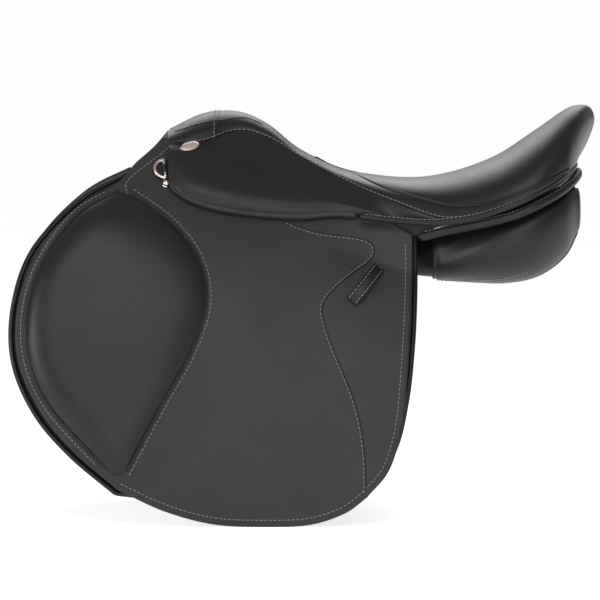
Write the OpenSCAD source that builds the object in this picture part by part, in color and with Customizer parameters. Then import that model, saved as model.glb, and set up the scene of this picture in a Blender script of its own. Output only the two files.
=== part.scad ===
/* [Side shape] */
// Half-width of the saddle at the line where the flaps bend
half_w = 113; // [108:1:118]
// How far the sides lean out for each millimetre down, at the bend line
lean = 0.667; // [0.64:0.01:0.7]
// Further half-width that the flaps approach at the bottom
spread = 110; // [105:1:116]

/* [Leather] */
// Thickness of the main flaps
flap_t = 4; // [3:0.5:4.5]
// Thickness of the skirts over the stirrup bars
skirt_t = 4; // [3:0.5:4.5]
// Thickness of the sweat flaps
sweat_t = 4; // [3:0.5:4.5]
// Thickness of the seat leather
cover_t = 2.6; // [2:0.2:2.8]
// Radius of the cord-filled welt below the seat
welt_r = 5; // [4:0.5:5.5]
// Height of the knee pads over the flaps
pad_rise = 12; // [8:1:14]

/* [Girth straps] */
// Width of one girth strap
billet_w = 28; // [24:1:30]
// Thickness of one girth strap
billet_t = 3.2; // [2.6:0.2:3.4]
// Distance between the straps' centre lines
billet_pitch = 40; // [36:1:42]
// Radius of the buckle holes
hole_r = 2.5; // [2:0.25:3]
// Distance from one buckle hole to the next
hole_pitch = 25; // [22:1:27]
// Number of buckle holes in a strap
hole_n = 5; // [3:1:5]

/* [Stirrup bars] */
// Radius of the bar that the stirrup leather hangs on
bar_r = 4; // [3.5:0.25:4.5]
// Length of the bar
bar_l = 56; // [50:1:60]
// Room for the stirrup leather behind the bar
bar_gap = 7; // [6.5:0.25:7.25]

/* [Front rings] */
// Inner radius of a front ring
ring_r = 9; // [8:0.5:10]
// Radius of the ring's wire
wire_r = 1.9; // [1.4:0.1:2]

/* [Badges] */
// Length of the plain oval badge
badge_l = 22; // [16:1:23]
// Height of the plain oval badge
badge_h = 10.5; // [7:0.5:11]

/* [Hidden] */

// Layers of one side, as distances out from the flap's outer face.
guard_in = -11.2;
guard_t = 2.8;
billet_mid = -17;
billet_low = -15;
sweat_out = -22;
point_out = -9;
point_t = 5.5;
plate_out = -5.4;
plate_t = 2.6;
steel_t = 2.8;

// The bend line of a flap: its front end and its slope down to the rear.
bend = [-297, 109];
bend_a = atan(0.29);
// The bend line of a skirt, with its half-width at the front and the rear.
skirt_front = [-251, 86, 151.6];
skirt_rear = [-45, 98, 88.8];
// The seat's side grows wider behind this place.
flare_x = -130;
flare_k = 0.0000228;

// A smooth curve through the points p, in n steps.
function spline(p, n) = [for (k = [0 : n]) curve_at(p, k / n)];
function curve_at(p, s) = let (
        last = len(p) - 1,
        t = min(max(s, 0), 1) * last,
        i = min(floor(t), last - 1),
        f = t - i,
        b = p[i],
        c = p[i + 1],
        a = i == 0 ? 2 * b - c : p[i - 1],
        d = i == last - 1 ? 2 * c - b : p[i + 2]
    ) (2 * b + (c - a) * f + (2 * a - 5 * b + 4 * c - d) * f * f
        + (3 * b - a - 3 * c + d) * f * f * f) / 2;

// A grid of points inside four border curves that share their corners.
function patch(top, bottom, front, rear) = let (n = len(top) - 1, m = len(front) - 1)
    [for (j = [0 : m]) let (t = j / m) [for (i = [0 : n]) let (s = i / n)
        (1 - t) * top[i] + t * bottom[i] + (1 - s) * front[j] + s * rear[j]
        - (1 - t) * ((1 - s) * top[0] + s * top[n]) - t * ((1 - s) * bottom[0] + s * bottom[n])]];

// The side surface: v is the distance below the bend line.
function side_v(x, z) = (bend[1] - z) * cos(bend_a) - (x - bend[0]) * sin(bend_a);
function side_slope(v) = v < 0 ? lean : lean * exp(-v * lean / spread);
function side_half(v) = v < 0 ? half_w + lean * v : half_w + spread * (1 - exp(-v * lean / spread));
function side_flare(x, v) = flare_k * pow(max(0, x - flare_x), 2) * max(0, -v);
function side_w(x, z, out) = let (v = side_v(x, z))
    side_half(v) + side_flare(x, v) + out * sqrt(1 + pow(side_slope(v), 2));
function side_pt(x, z, out) = [x, -side_w(x, z, out), z];
function bend_z(x) = bend[1] - (x - bend[0]) * tan(bend_a);

// Along a skirt's bend line: its height, and how far out its outer face lies.
skirt_fall = (skirt_front[2] - skirt_rear[2]) / (skirt_rear[0] - skirt_front[0]);
skirt_grow = (skirt_rear[1] - skirt_front[1]) / (skirt_rear[0] - skirt_front[0]);
function skirt_z(x) = skirt_front[2] - (x - skirt_front[0]) * skirt_fall;
function skirt_out(x) = let (w = skirt_front[1] + (x - skirt_front[0]) * skirt_grow)
    (w - side_w(x, skirt_z(x), 0)) / (side_w(x, skirt_z(x), 1) - side_w(x, skirt_z(x), 0));

// Closed solid between two grids of points; a is the inner grid, b the outer one.
module slab(a, b) {
    m = len(a);
    n = len(a[0]);
    total = m * n;
    inner = [for (j = [0 : m - 2], i = [0 : n - 2], h = [0, 1]) let (k = j * n + i)
        h == 0 ? [k, k + n + 1, k + 1] : [k, k + n, k + n + 1]];
    outer = [for (f = inner) [f[2] + total, f[1] + total, f[0] + total]];
    rim = concat([for (i = [0 : n - 1]) i], [for (j = [1 : m - 1]) j * n + n - 1],
        [for (i = [n - 2 : -1 : 0]) (m - 1) * n + i], [for (j = [m - 2 : -1 : 1]) j * n]);
    wall = [for (k = [0 : len(rim) - 1], h = [0, 1])
        let (p = rim[k], q = rim[(k + 1) % len(rim)])
        h == 0 ? [p, q + total, p + total] : [p, q, q + total]];
    points = concat([for (row = a) each row], [for (row = b) each row]);
    polyhedron(points = points, faces = concat(inner, outer, wall));
}

// Closed solid through a row of rings of points; looped joins the last ring to the first.
module tube(rings, looped = false) {
    m = len(rings);
    n = len(rings[0]);
    sides = [for (j = [0 : looped ? m - 1 : m - 2], i = [0 : n - 1], h = [0, 1])
        let (a = j * n + i, b = j * n + (i + 1) % n,
            c = ((j + 1) % m) * n + i, d = ((j + 1) % m) * n + (i + 1) % n)
        h == 0 ? [a, d, b] : [a, c, d]];
    caps = looped ? [] : concat(
        [for (i = [1 : n - 2]) [0, i, i + 1]],
        [for (i = [1 : n - 2]) let (k = (m - 1) * n) [k, k + i + 1, k + i]]);
    polyhedron(points = [for (r = rings) each r], faces = concat(sides, caps));
}

// A sheet on the side surface between two distances out from it.
module sheet(grid, inner, outer) {
    slab([for (row = grid) [for (p = row) side_pt(p[0], p[1], inner)]],
        [for (row = grid) [for (p = row) side_pt(p[0], p[1], outer)]]);
}

// A pad on the side surface, thin at its border and higher in the middle.
module side_pad(grid, inner, edge, rise) {
    m = len(grid) - 1;
    n = len(grid[0]) - 1;
    slab([for (row = grid) [for (p = row) side_pt(p[0], p[1], inner)]],
        [for (j = [0 : m]) [for (i = [0 : n])
            let (swell = pow(sin(180 * i / n), 0.6) * pow(sin(180 * j / m), 0.6))
            side_pt(grid[j][i][0], grid[j][i][1], inner + edge + rise * swell)]]);
}

// Places its children on the side, with +Z outwards, +X to the rear and +Y up the side.
module on_side(x, z, out = 0) {
    k = side_slope(side_v(x, z));
    n = [k * sin(bend_a), 1, k * cos(bend_a)] / sqrt(1 + k * k);
    translate(side_pt(x, z, out)) rotate([90 - asin(n[2]), 0, atan(n[0] / n[1])]) children();
}

module right() {
    mirror([0, 1, 0]) children();
}

// Seat surface: the crest line in the middle and the edge line on the left, from the
// pommel's front, over the seat and the cantle, to the bottom of the cantle's back.
seat_crest = [
    [-252, 170], [-215, 187], [-180, 190], [-148, 177], [-110, 148], [-60, 126], [0, 116.6],
    [50, 121], [105, 140], [150, 169], [186, 193], [205, 196], [212, 182], [204, 157], [192, 136]
];
seat_edge = [
    [-252, 70, 158], [-219, 66, 159], [-178, 49, 171], [-143, 50, 163], [-110, 57, 143],
    [-60, 72, 117], [0, 94, 92], [50, 114, 76], [106, 128, 86], [150, 123, 105], [176, 100, 120],
    [184, 80, 128], [188, 60, 132], [190, 46, 133], [191, 36, 133.5]
];
function seat_at(s, q) = let (
        c = curve_at(seat_crest, s),
        e = curve_at(seat_edge, s),
        t = abs(q),
        k = [(c[0] + e[0]) / 2, 0.92 * e[1], c[1]],
        p = (1 - t) * (1 - t) * [c[0], 0, c[1]] + 2 * t * (1 - t) * k + t * t * e
    ) [p[0], q < 0 ? -p[1] : p[1], p[2]];
function unit(a) = a / norm(a);
function seat_shift(s, q, d) = let (
        e = 0.004,
        s0 = min(max(s, e), 1 - e),
        q0 = min(max(q, e - 1), 1 - e),
        n = cross(seat_at(s0 + e, q0) - seat_at(s0 - e, q0), seat_at(s0, q0 + e) - seat_at(s0, q0 - e))
    ) seat_at(s, q) + d * unit(n);
function seat_grid(s0, s1, w, m, n, d) = [for (j = [0 : m]) [for (i = [0 : n])
    seat_shift(s0 + (s1 - s0) * j / m, w * (2 * i / n - 1), d)]];

// Inner layers of the seat, as distances below the seat's surface.
foam_in = -15;
foam_gap = 1.4;
web_t = 1.6;
long_web_in = -18;
cross_web_in = -20.6;
tree_out = -24;
tree_t = 12;

// One ring of the tree: a strip across its rim between the outer edge and the opening.
function tree_ring(a) = let (
        s0 = 0.025,
        s1 = 0.685,
        outer = [(s0 + s1) / 2 - (s1 - s0) / 2 * cos(a), 0.74 * rounded(sin(a))],
        inner = [0.44 - 0.17 * cos(a), 0.36 * rounded(sin(a))]
    ) concat(
        [for (t = [0 : 3]) let (p = outer + (inner - outer) * t / 3) seat_shift(p[0], p[1], tree_out)],
        [for (t = [3 : -1 : 0]) let (p = outer + (inner - outer) * t / 3)
            seat_shift(p[0], p[1], tree_out - tree_t)]);
function rounded(a) = sign(a) * pow(abs(a), 0.6);

module tree() {
    color("tan") tube([for (k = [0 : 29]) tree_ring(k * 12)], looped = true);
}

point_grid = patch(
    spline([[-240, 140], [-190, 128], [-126, 117]], 6), spline([[-240, 84], [-200, 90], [-126, 90]], 6),
    spline([[-240, 140], [-240, 84]], 3), spline([[-126, 117], [-126, 90]], 3));
module tree_point() {
    color("tan") sheet(point_grid, point_out - point_t, point_out);
}

// Steel arch below the pommel, across from one tree point to the other.
arch_line = [
    [-96.5, 82], [-83, 103], [-70, 119], [-48, 127], [-24, 129.5], [0, 130],
    [24, 129.5], [48, 127], [70, 119], [83, 103], [96.5, 82]
];
module gullet_plate() {
    color("silver") tube([for (p = spline(arch_line, 20)) let (r = unit([p[0], p[1] - 60]))
        [for (c = [[-229, 0], [-211, 0], [-211, 1], [-229, 1]])
            [c[0], p[0] - c[1] * steel_t * r[0], p[1] - c[1] * steel_t * r[1]]]]);
}

rivet_r = 3;
module gullet_rivets() {
    color("silver") for (s = [-1, 1]) {
        translate([-220, s * 14, 125.5]) cylinder(r = rivet_r, h = 24, $fn = 24);
    }
}

// Sprung steel strip under one rail of the tree.
module spring_steel() {
    color("silver") slab(strip_grid(0.28, 0.65, -0.6, 0.12, 12, tree_out - tree_t - 2.8),
        strip_grid(0.28, 0.65, -0.6, 0.12, 12, tree_out - tree_t - 0.8));
}

module long_webbing() {
    color("ivory") for (q = [-0.2, 0.06]) {
        slab(strip_grid(0.1, 0.74, q, 0.14, 16, long_web_in),
            strip_grid(0.1, 0.74, q, 0.14, 16, long_web_in + web_t));
    }
}
function strip_grid(s0, s1, q0, dq, m, d) =
    [for (j = [0 : m]) [for (i = [0 : 2]) seat_shift(s0 + (s1 - s0) * j / m, q0 + dq * i / 2, d)]];

module cross_webbing() {
    color("ivory") for (s = [0.36, 0.5]) {
        slab(seat_grid(s, s + 0.07, 0.66, 3, 10, cross_web_in),
            seat_grid(s, s + 0.07, 0.66, 3, 10, cross_web_in + web_t));
    }
}

tack_l = 8;
module webbing_tacks() {
    color("silver") for (side = [-1, 1], s = [0.38, 0.41, 0.52, 0.55]) {
        head = seat_shift(s, side * 0.6, cross_web_in + web_t + 0.4);
        foot = seat_shift(s, side * 0.6, cross_web_in + web_t + 0.4 - tack_l);
        aim = head - foot;
        translate(foot) rotate([0, acos(aim[2] / norm(aim)), atan2(aim[1], aim[0])])
            cylinder(r = 1.5, h = norm(aim), $fn = 16);
    }
}

module seat_foam() {
    color("khaki") slab(seat_grid(0.03, 0.79, 0.93, 18, 10, foam_in),
        seat_grid(0.03, 0.79, 0.93, 18, 10, -cover_t - foam_gap));
}

module seat_cover() {
    color("dimgray") slab(seat_grid(0, 1, 1, 28, 12, -cover_t), seat_grid(0, 1, 1, 28, 12, 0));
}

// Arched strip that closes the front of the pommel.
facing_w = 37;
facing_t = 5;
module pommel_facing() {
    grid = [for (t = [0, 0.5, 1]) [for (i = [0 : 14]) let (p = seat_at(0, 2 * i / 14 - 1))
        [p[0] - 0.6, p[1] * (1 + 0.2 * t), p[2] - facing_w * t]]];
    color("dimgray") slab([for (row = grid) [for (p = row) p - [facing_t, 0, 0]]], grid);
}

// Side leather between the seat's edge and the skirt's bend line.
side_top = [for (k = [0 : 12]) let (e = curve_at(seat_edge, 0.485 * k / 12)) [e[0], e[2] - 2.2]];
side_top_out = 2;
module seat_side() {
    grid = [for (t = [0 : 0.25 : 1]) [for (p = side_top)
        [p[0], (1 - t) * p[1] + t * min(p[1] - 1, max(skirt_z(p[0]) + 0.3, 68))]]];
    function out(p, t) = t * skirt_out(p[0]) + (1 - t) * side_top_out;
    color("dimgray") slab(
        [for (t = [0 : 4]) [for (p = grid[t]) side_pt(p[0], p[1], out(p, t / 4) - skirt_t)]],
        [for (t = [0 : 4]) [for (p = grid[t]) side_pt(p[0], p[1], out(p, t / 4))]]);
}

// Welt round the seat's rear, from one side over the back to the other.
welt_line = [
    [19, -110, 59], [50, -114, 65], [106, -127, 77], [144, -123, 91], [172, -103, 106],
    [186, -78, 116], [193, -44, 122], [195, 0, 124]
];
function mirrored(p) = concat(p, [for (k = [len(p) - 2 : -1 : 0]) [p[k][0], -p[k][1], p[k][2]]]);
function cord_rings(path, r, n) = let (last = len(path) - 1) [for (k = [0 : last])
    let (a = unit(path[min(k + 1, last)] - path[max(k - 1, 0)]),
        side = unit(cross([0, 0, 1], a)),
        up = cross(a, side))
    [for (i = [0 : n - 1]) path[k] + r * (cos(360 * i / n) * side + sin(360 * i / n) * up)]];
module cantle_welt() {
    color("dimgray") tube(cord_rings(spline(mirrored(welt_line), 32), welt_r, 8));
}

// Lining strip over the channel between the two panels.
lining_line = [[-190, 96], [-100, 84], [-40, 62], [20, 50], [80, 50], [150, 64], [180, 82]];
lining_half = 26;
module gullet_lining() {
    line = spline(lining_line, 14);
    color("black") slab([for (p = line) [for (y = [-1, 0, 1]) [p[0], y * lining_half, p[1]]]],
        [for (p = line) [for (y = [-1, 0, 1]) [p[0], y * lining_half, p[1] + 2.4]]]);
}

// Panel stations: x, then half-width and height of the middle line's inner end, bend and
// outer end, then half the thickness.
panel_rows = [
    [-284, 66, 98, 92, 66, 117, 6, 11], [-245, 56, 98, 88, 60, 119, -12, 13],
    [-200, 48, 100, 84, 56, 121, -26, 13], [-150, 42, 92, 80, 50, 119, -28, 13],
    [-100, 37, 80, 76, 44, 108, -18, 13], [-50, 36, 60, 64, 40, 86, 0, 14],
    [0, 36, 45, 54, 35, 66, 20, 16], [40, 36, 38, 65, 33, 85, 35, 23],
    [80, 37, 36, 78, 30, 104, 50, 27], [115, 38, 36, 84, 30, 109, 63, 30],
    [150, 39, 42, 78, 38, 102, 78, 31], [178, 40, 56, 64, 54, 84, 92, 27],
    [196, 41, 72, 50, 74, 60, 99, 19]
];
function panel_pt(row, a, grow) = let (
        t = (1 - cos(a)) / 2,
        i = [row[1], row[2]],
        c = [row[3], row[4]],
        o = [row[5], row[6]],
        mid = (1 - t) * (1 - t) * i + 2 * t * (1 - t) * c + t * t * o,
        along = unit((1 - t) * (c - i) + t * (o - c)),
        h = (row[7] + grow) * sign(sin(a)) * pow(abs(sin(a)), 0.7),
        p = mid + h * [-along[1], along[0]] - (row[7] * 0.3 + grow) * cos(a) * along
    ) [row[0], -p[0], p[1]];
module panel() {
    color("#222222") tube([for (row = spline(panel_rows, 22))
        [for (k = [0 : 11]) panel_pt(row, k * 30, 0)]]);
}

// Leather wall round the outside of the panel's rear.
module gusset() {
    rows = [for (k = [0 : 10]) curve_at(panel_rows, 0.575 + 0.4 * k / 10)];
    color("#333333") slab([for (row = rows) [for (k = [0 : 5]) panel_pt(row, 120 + 30 * k, 3.2)]],
        [for (row = rows) [for (k = [0 : 5]) panel_pt(row, 120 + 30 * k, 1)]]);
}

// Stirrup bar: a plate on the tree point, a front arm and a straight round bar.
bar_at = [-165, 104];
bar_mid = plate_out + bar_gap + bar_r;
arm_l = 9;
module stirrup_bar() {
    color("silver") on_side(bar_at[0], bar_at[1]) difference() {
        union() {
            translate([-bar_l / 2 - arm_l, -9, plate_out - plate_t]) cube([bar_l + arm_l, 18, plate_t]);
            translate([-bar_l / 2 - arm_l, -bar_r, plate_out - plate_t / 2])
                cube([arm_l, 2 * bar_r, bar_mid + bar_r - plate_out + plate_t / 2]);
            translate([-bar_l / 2 - arm_l / 2, 0, bar_mid]) rotate([0, 90, 0])
                cylinder(r = bar_r, h = bar_l + arm_l / 2, $fn = 48);
        }
        translate([bar_l / 2 - 9, -bar_r - 1, bar_mid - bar_r - 1]) cube([10, 2 * bar_r + 2, bar_r + 2.5]);
        translate([bar_l / 2 - 4.5, 0, bar_mid - 1]) cylinder(r = 1.05, h = 10, $fn = 24);
    }
}

// Thumb catch in the notch at the bar's rear end, on its own pin.
module bar_catch() {
    color("silver") on_side(bar_at[0], bar_at[1]) translate([bar_l / 2 - 4.5, 0, bar_mid - bar_r + 0.5]) {
        hull() {
            cylinder(r = 3.6, h = bar_r + 0.6, $fn = 32);
            translate([11, 0, 0]) cylinder(r = 3, h = bar_r + 0.6, $fn = 32);
        }
        translate([0, 0, bar_r]) cylinder(r = 1, h = bar_r - 1, $fn = 24);
    }
}

module bar_rivets() {
    color("silver") for (m = [0, 1]) mirror([0, m, 0]) on_side(bar_at[0], bar_at[1]) {
        for (x = [-20, 20]) {
            translate([x, 0, plate_out - plate_t - 6]) cylinder(r = 2.5, h = plate_t + 7, $fn = 24);
        }
    }
}

sweat_grid = patch(
    spline([[-296, 127], [16, 62]], 12),
    spline([
        [-309, -216], [-256, -223], [-204, -236], [-150, -239], [-100, -236], [-65, -226], [-38, -208]
    ], 12),
    spline([
        [-296, 127], [-348, 99], [-399, 46], [-420, -14], [-420, -74], [-397, -129], [-359, -174],
        [-309, -216]
    ], 12),
    spline([[16, 62], [16, 0], [13, -60], [6, -120], [-8, -172], [-38, -208]], 12));
module sweat_flap() {
    color("#2b2b2b") sheet(sweat_grid, sweat_out - sweat_t, sweat_out);
}

module knee_block() {
    grid = patch(
        spline([[-318, 70], [-285, 60]], 4), spline([[-352, -110], [-322, -104]], 4),
        spline([[-318, 70], [-362, 20], [-378, -40], [-352, -110]], 8),
        spline([[-285, 60], [-322, 14], [-338, -40], [-322, -104]], 8));
    color("#2b2b2b") side_pad(grid, sweat_out + 1.2, 5, 9);
}

module thigh_block() {
    grid = patch(
        spline([[-34, -70], [-8, -66]], 4), spline([[-58, -180], [-36, -180]], 4),
        spline([[-34, -70], [-40, -130], [-58, -180]], 6),
        spline([[-8, -66], [-14, -130], [-36, -180]], 6));
    color("#2b2b2b") side_pad(grid, sweat_out + 1.2, 5, 9);
}

// Girth webs come down from the tree and end where the leather straps begin.
billet_top = 8;
billet_x = -120;
module girth_webs() {
    color("ivory") for (k = [-1, 0, 1]) {
        x = billet_x + k * billet_pitch;
        grid = [for (z = [58 : -12 : 10]) [for (dx = [-12, 0, 12]) [x + dx, z]]];
        sheet(grid, billet_mid - 1, billet_mid + 1);
    }
}

// A girth strap: a curved strip whose lower part is straight and carries the holes.
billet_bottom = -205;
straight_top = -85;
billet_yaw = 4.4;
module billet(x) {
    heights = [billet_top, -15, -38, -61, straight_top, billet_bottom];
    function depth(z) = billet_mid
        + (billet_low - billet_mid) * (billet_top - z) / (billet_top - billet_bottom);
    line = [for (z = heights) [-side_w(x, z, depth(z)), z]];
    last = len(line) - 1;
    function face(k, d) = let (t = unit(line[min(k + 1, last)] - line[max(k - 1, 0)]))
        line[k] + d * [t[1], -t[0]];
    outline = concat([for (k = [0 : last]) face(k, billet_t / 2)],
        [for (k = [last : -1 : 0]) face(k, -billet_t / 2)]);
    run = line[last] - line[last - 1];
    tilt = atan2(run[0], -run[1]);
    pivot = [0, line[2][0], 0];
    color("#2b2b2b") translate(pivot + [x, 0, 0]) rotate([0, 0, -billet_yaw]) translate(-pivot)
        difference() {
            rotate([90, 0, 90]) translate([0, 0, -billet_w / 2]) linear_extrude(billet_w) polygon(outline);
            for (k = [0 : hole_n - 1]) {
                p = line[last] - (14 + k * hole_pitch) * unit(run);
                translate([0, p[0], p[1]]) rotate([90 + tilt, 0, 0])
                    cylinder(r = hole_r, h = 12, center = true, $fn = 32);
            }
        }
}

module buckle_guard() {
    grid = [for (z = [14 : -13 : -64]) [for (x = [-186 : 22 : -54]) [x, z]]];
    color("#2b2b2b") sheet(grid, guard_in, guard_in + guard_t);
}

head_top = [[-264, 158], [-200, 146], [-130, 133], [-60, 101], [12, 60]];
module flap_head() {
    grid = patch(
        spline(head_top, 12), [for (k = [0 : 12]) let (x = -312 + 324 * k / 12) [x, bend_z(x) + 0.4]],
        spline([[-264, 158], [-288, 136], [-312, bend_z(-312) + 0.4]], 5),
        spline([[12, 60], [12, 40], [12, bend_z(12) + 0.4]], 5));
    color("#303030") difference() {
        sheet(grid, -flap_t, 0);
        on_side(bar_at[0], bar_at[1]) translate([-bar_l / 2 - arm_l - 1.5, -10, -8])
            cube([bar_l + arm_l + 3, 20, 14]);
    }
}

flap_front = [
    [-312, bend_z(-312) - 0.4], [-362, 82], [-396, 38], [-414, -16], [-413, -72],
    [-389, -126], [-352, -170], [-304, -211]
];
flap_bottom = [
    [-304, -211], [-256, -233], [-204, -247], [-150, -250], [-100, -248], [-62, -236], [-38, -219]
];
flap_rear = [[12, bend_z(12) - 0.4], [10, -30], [6, -90], [0, -145], [-14, -190], [-38, -219]];
module flap() {
    grid = patch([for (k = [0 : 12]) let (x = -312 + 324 * k / 12) [x, bend_z(x) - 0.4]],
        spline(flap_bottom, 12), spline(flap_front, 12), spline(flap_rear, 12));
    color("#3c3c3c") sheet(grid, -flap_t, 0);
}

module knee_pad() {
    grid = patch(
        [for (k = [0 : 6]) let (x = -306 + 14 * k / 6) [x, bend_z(x) - 4]],
        spline([[-318, -186], [-308, -194], [-298, -190]], 6),
        spline([
            [-306, bend_z(-306) - 4], [-350, 82], [-386, 34], [-402, -16], [-401, -68], [-378, -120],
            [-318, -186]
        ], 10),
        spline([
            [-292, bend_z(-292) - 4], [-251, 74], [-221, 36], [-212, -10], [-228, -62], [-260, -119],
            [-298, -190]
        ], 10));
    color("#333333") side_pad(grid, 0.6, 2, pad_rise);
}

// Loop on the flap for the loose end of the stirrup leather.
keeper_gap = 7.5;
module keeper() {
    start = [-24, 26];
    run = [-30, -36];
    across = 13 * unit([36, -30]);
    grid = [for (k = [0 : 8]) [for (h = [-0.5, 0, 0.5]) start + run * k / 8 + across * h]];
    function gap(k) = 0.6 + keeper_gap * pow(sin(180 * k / 8), 0.5);
    color("#333333") slab([for (k = [0 : 8]) [for (p = grid[k]) side_pt(p[0], p[1], gap(k))]],
        [for (k = [0 : 8]) [for (p = grid[k]) side_pt(p[0], p[1], gap(k) + 2.4)]]);
}

skirt_swell = 9;
skirt_low = [
    [-250, 112], [-232, 97], [-197, 86], [-152, 79.5], [-110, 77], [-75, 81], [-46, 80]
];
module skirt() {
    grid = patch([for (k = [0 : 10]) let (x = -251 + 205 * k / 10) [x, skirt_z(x) - 0.3]],
        spline(skirt_low, 10),
        spline([[-251, skirt_z(-251) - 0.3], [-253, 132], [-250, 112]], 6),
        spline([[-46, skirt_z(-46) - 0.3], [-46, 80]], 6));
    function out(p, s, t) = (1 - t) * skirt_out(p[0]) + t * 6
        + skirt_swell * pow(sin(180 * s), 0.4) * pow(sin(180 * t), 0.6);
    function face(i, j, d) = let (p = grid[j][i]) side_pt(p[0], p[1], out(p, i / 10, j / 6) + d);
    color("#404040") slab([for (j = [0 : 6]) [for (i = [0 : 10]) face(i, j, -skirt_t)]],
        [for (j = [0 : 6]) [for (i = [0 : 10]) face(i, j, 0)]]);
}

badge_at = [-230, 155];
badge_out = 8.5;
module badge() {
    color("rosybrown") on_side(badge_at[0], badge_at[1], badge_out) rotate([0, 0, 8])
        linear_extrude(1.4)
        polygon([for (a = [0 : 10 : 350]) [badge_l / 2 * cos(a), badge_h / 2 * sin(a)]]);
}

ring_at = [-257, 131];
ring_out = 3.1;
module ring() {
    color("silver") on_side(ring_at[0], ring_at[1], ring_out) {
        rotate([0, 0, 90]) rotate_extrude(angle = 180, $fn = 48)
            translate([ring_r + wire_r, 0]) circle(r = wire_r, $fn = 24);
        rotate([90, 0, 0]) cylinder(r = wire_r, h = 2 * (ring_r + wire_r), center = true, $fn = 24);
    }
}

module ring_clip() {
    color("#333333") on_side(ring_at[0], ring_at[1], ring_out) difference() {
        union() {
            rotate([90, 0, 0]) cylinder(r = wire_r + 1, h = 10, center = true, $fn = 32);
            translate([0, -5, -wire_r - 0.7]) cube([12, 10, 1.3]);
        }
        rotate([90, 0, 0]) cylinder(r = wire_r + 0.06, h = 30, center = true, $fn = 48);
        translate([-20, -10, -1.6]) cube([20, 20, 3.2]);
    }
}

module ring_screws() {
    color("silver") for (m = [0, 1]) mirror([0, m, 0]) {
        on_side(-256, 114, 0.4) cylinder(r1 = 2.4, r2 = 1.6, h = 1.6, $fn = 24);
    }
}

tree();
tree_point();  // left_tree_point
right() tree_point();  // right_tree_point
gullet_plate();
gullet_rivets();
spring_steel();  // left_spring_steel
right() spring_steel();  // right_spring_steel
long_webbing();
cross_webbing();
webbing_tacks();
seat_foam();
seat_cover();
pommel_facing();
seat_side();  // left_seat_side
right() seat_side();  // right_seat_side
cantle_welt();
gullet_lining();
panel();  // left_panel
right() panel();  // right_panel
gusset();  // left_gusset
right() gusset();  // right_gusset
stirrup_bar();  // left_stirrup_bar
right() stirrup_bar();  // right_stirrup_bar
bar_catch();  // left_bar_catch
right() bar_catch();  // right_bar_catch
bar_rivets();
sweat_flap();  // left_sweat_flap
right() sweat_flap();  // right_sweat_flap
knee_block();  // left_knee_block
right() knee_block();  // right_knee_block
thigh_block();  // left_thigh_block
right() thigh_block();  // right_thigh_block
girth_webs();  // left_girth_webs
right() girth_webs();  // right_girth_webs
billet(billet_x - billet_pitch);  // left_front_billet
billet(billet_x);  // left_middle_billet
billet(billet_x + billet_pitch);  // left_rear_billet
right() billet(billet_x - billet_pitch);  // right_front_billet
right() billet(billet_x);  // right_middle_billet
right() billet(billet_x + billet_pitch);  // right_rear_billet
buckle_guard();  // left_buckle_guard
right() buckle_guard();  // right_buckle_guard
flap_head();  // left_flap_head
right() flap_head();  // right_flap_head
flap();  // left_flap
right() flap();  // right_flap
knee_pad();  // left_knee_pad
right() knee_pad();  // right_knee_pad
keeper();  // left_keeper
right() keeper();  // right_keeper
skirt();  // left_skirt
right() skirt();  // right_skirt
badge();  // left_badge
right() badge();  // right_badge
ring();  // left_ring
right() ring();  // right_ring
ring_clip();  // left_ring_clip
right() ring_clip();  // right_ring_clip
ring_screws();
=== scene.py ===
"""Close-contact english saddle: leather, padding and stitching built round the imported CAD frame.

Outlines are in millimetres, in the part's own frame: the horse faces -X and its left side is -Y.
Everything is built for the left side; the right side mirrors it.
"""
import math

import bpy
import numpy as np
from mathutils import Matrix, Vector


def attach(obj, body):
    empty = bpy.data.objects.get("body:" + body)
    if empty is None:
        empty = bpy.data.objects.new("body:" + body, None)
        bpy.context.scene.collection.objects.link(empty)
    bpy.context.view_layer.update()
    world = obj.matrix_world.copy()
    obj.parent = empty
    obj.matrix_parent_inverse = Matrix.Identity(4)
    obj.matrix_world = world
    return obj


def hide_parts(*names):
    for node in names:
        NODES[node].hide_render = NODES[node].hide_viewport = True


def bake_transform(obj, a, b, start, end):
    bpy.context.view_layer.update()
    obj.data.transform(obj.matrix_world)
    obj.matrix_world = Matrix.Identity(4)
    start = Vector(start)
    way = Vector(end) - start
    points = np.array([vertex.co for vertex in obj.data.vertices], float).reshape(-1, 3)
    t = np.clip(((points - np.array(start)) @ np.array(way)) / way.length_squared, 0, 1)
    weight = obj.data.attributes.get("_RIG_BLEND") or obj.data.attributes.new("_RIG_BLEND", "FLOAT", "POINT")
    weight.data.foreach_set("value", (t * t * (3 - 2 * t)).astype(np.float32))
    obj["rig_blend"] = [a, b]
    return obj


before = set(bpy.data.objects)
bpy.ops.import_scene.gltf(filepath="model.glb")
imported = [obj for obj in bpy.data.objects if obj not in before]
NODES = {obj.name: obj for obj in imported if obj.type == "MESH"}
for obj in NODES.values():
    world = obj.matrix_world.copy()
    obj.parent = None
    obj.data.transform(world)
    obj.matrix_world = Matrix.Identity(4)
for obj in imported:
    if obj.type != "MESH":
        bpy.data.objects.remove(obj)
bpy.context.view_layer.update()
MM = 0.001
SIDES = ("left", "right")


# ---------------------------------------------------------------- curves and surfaces

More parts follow.
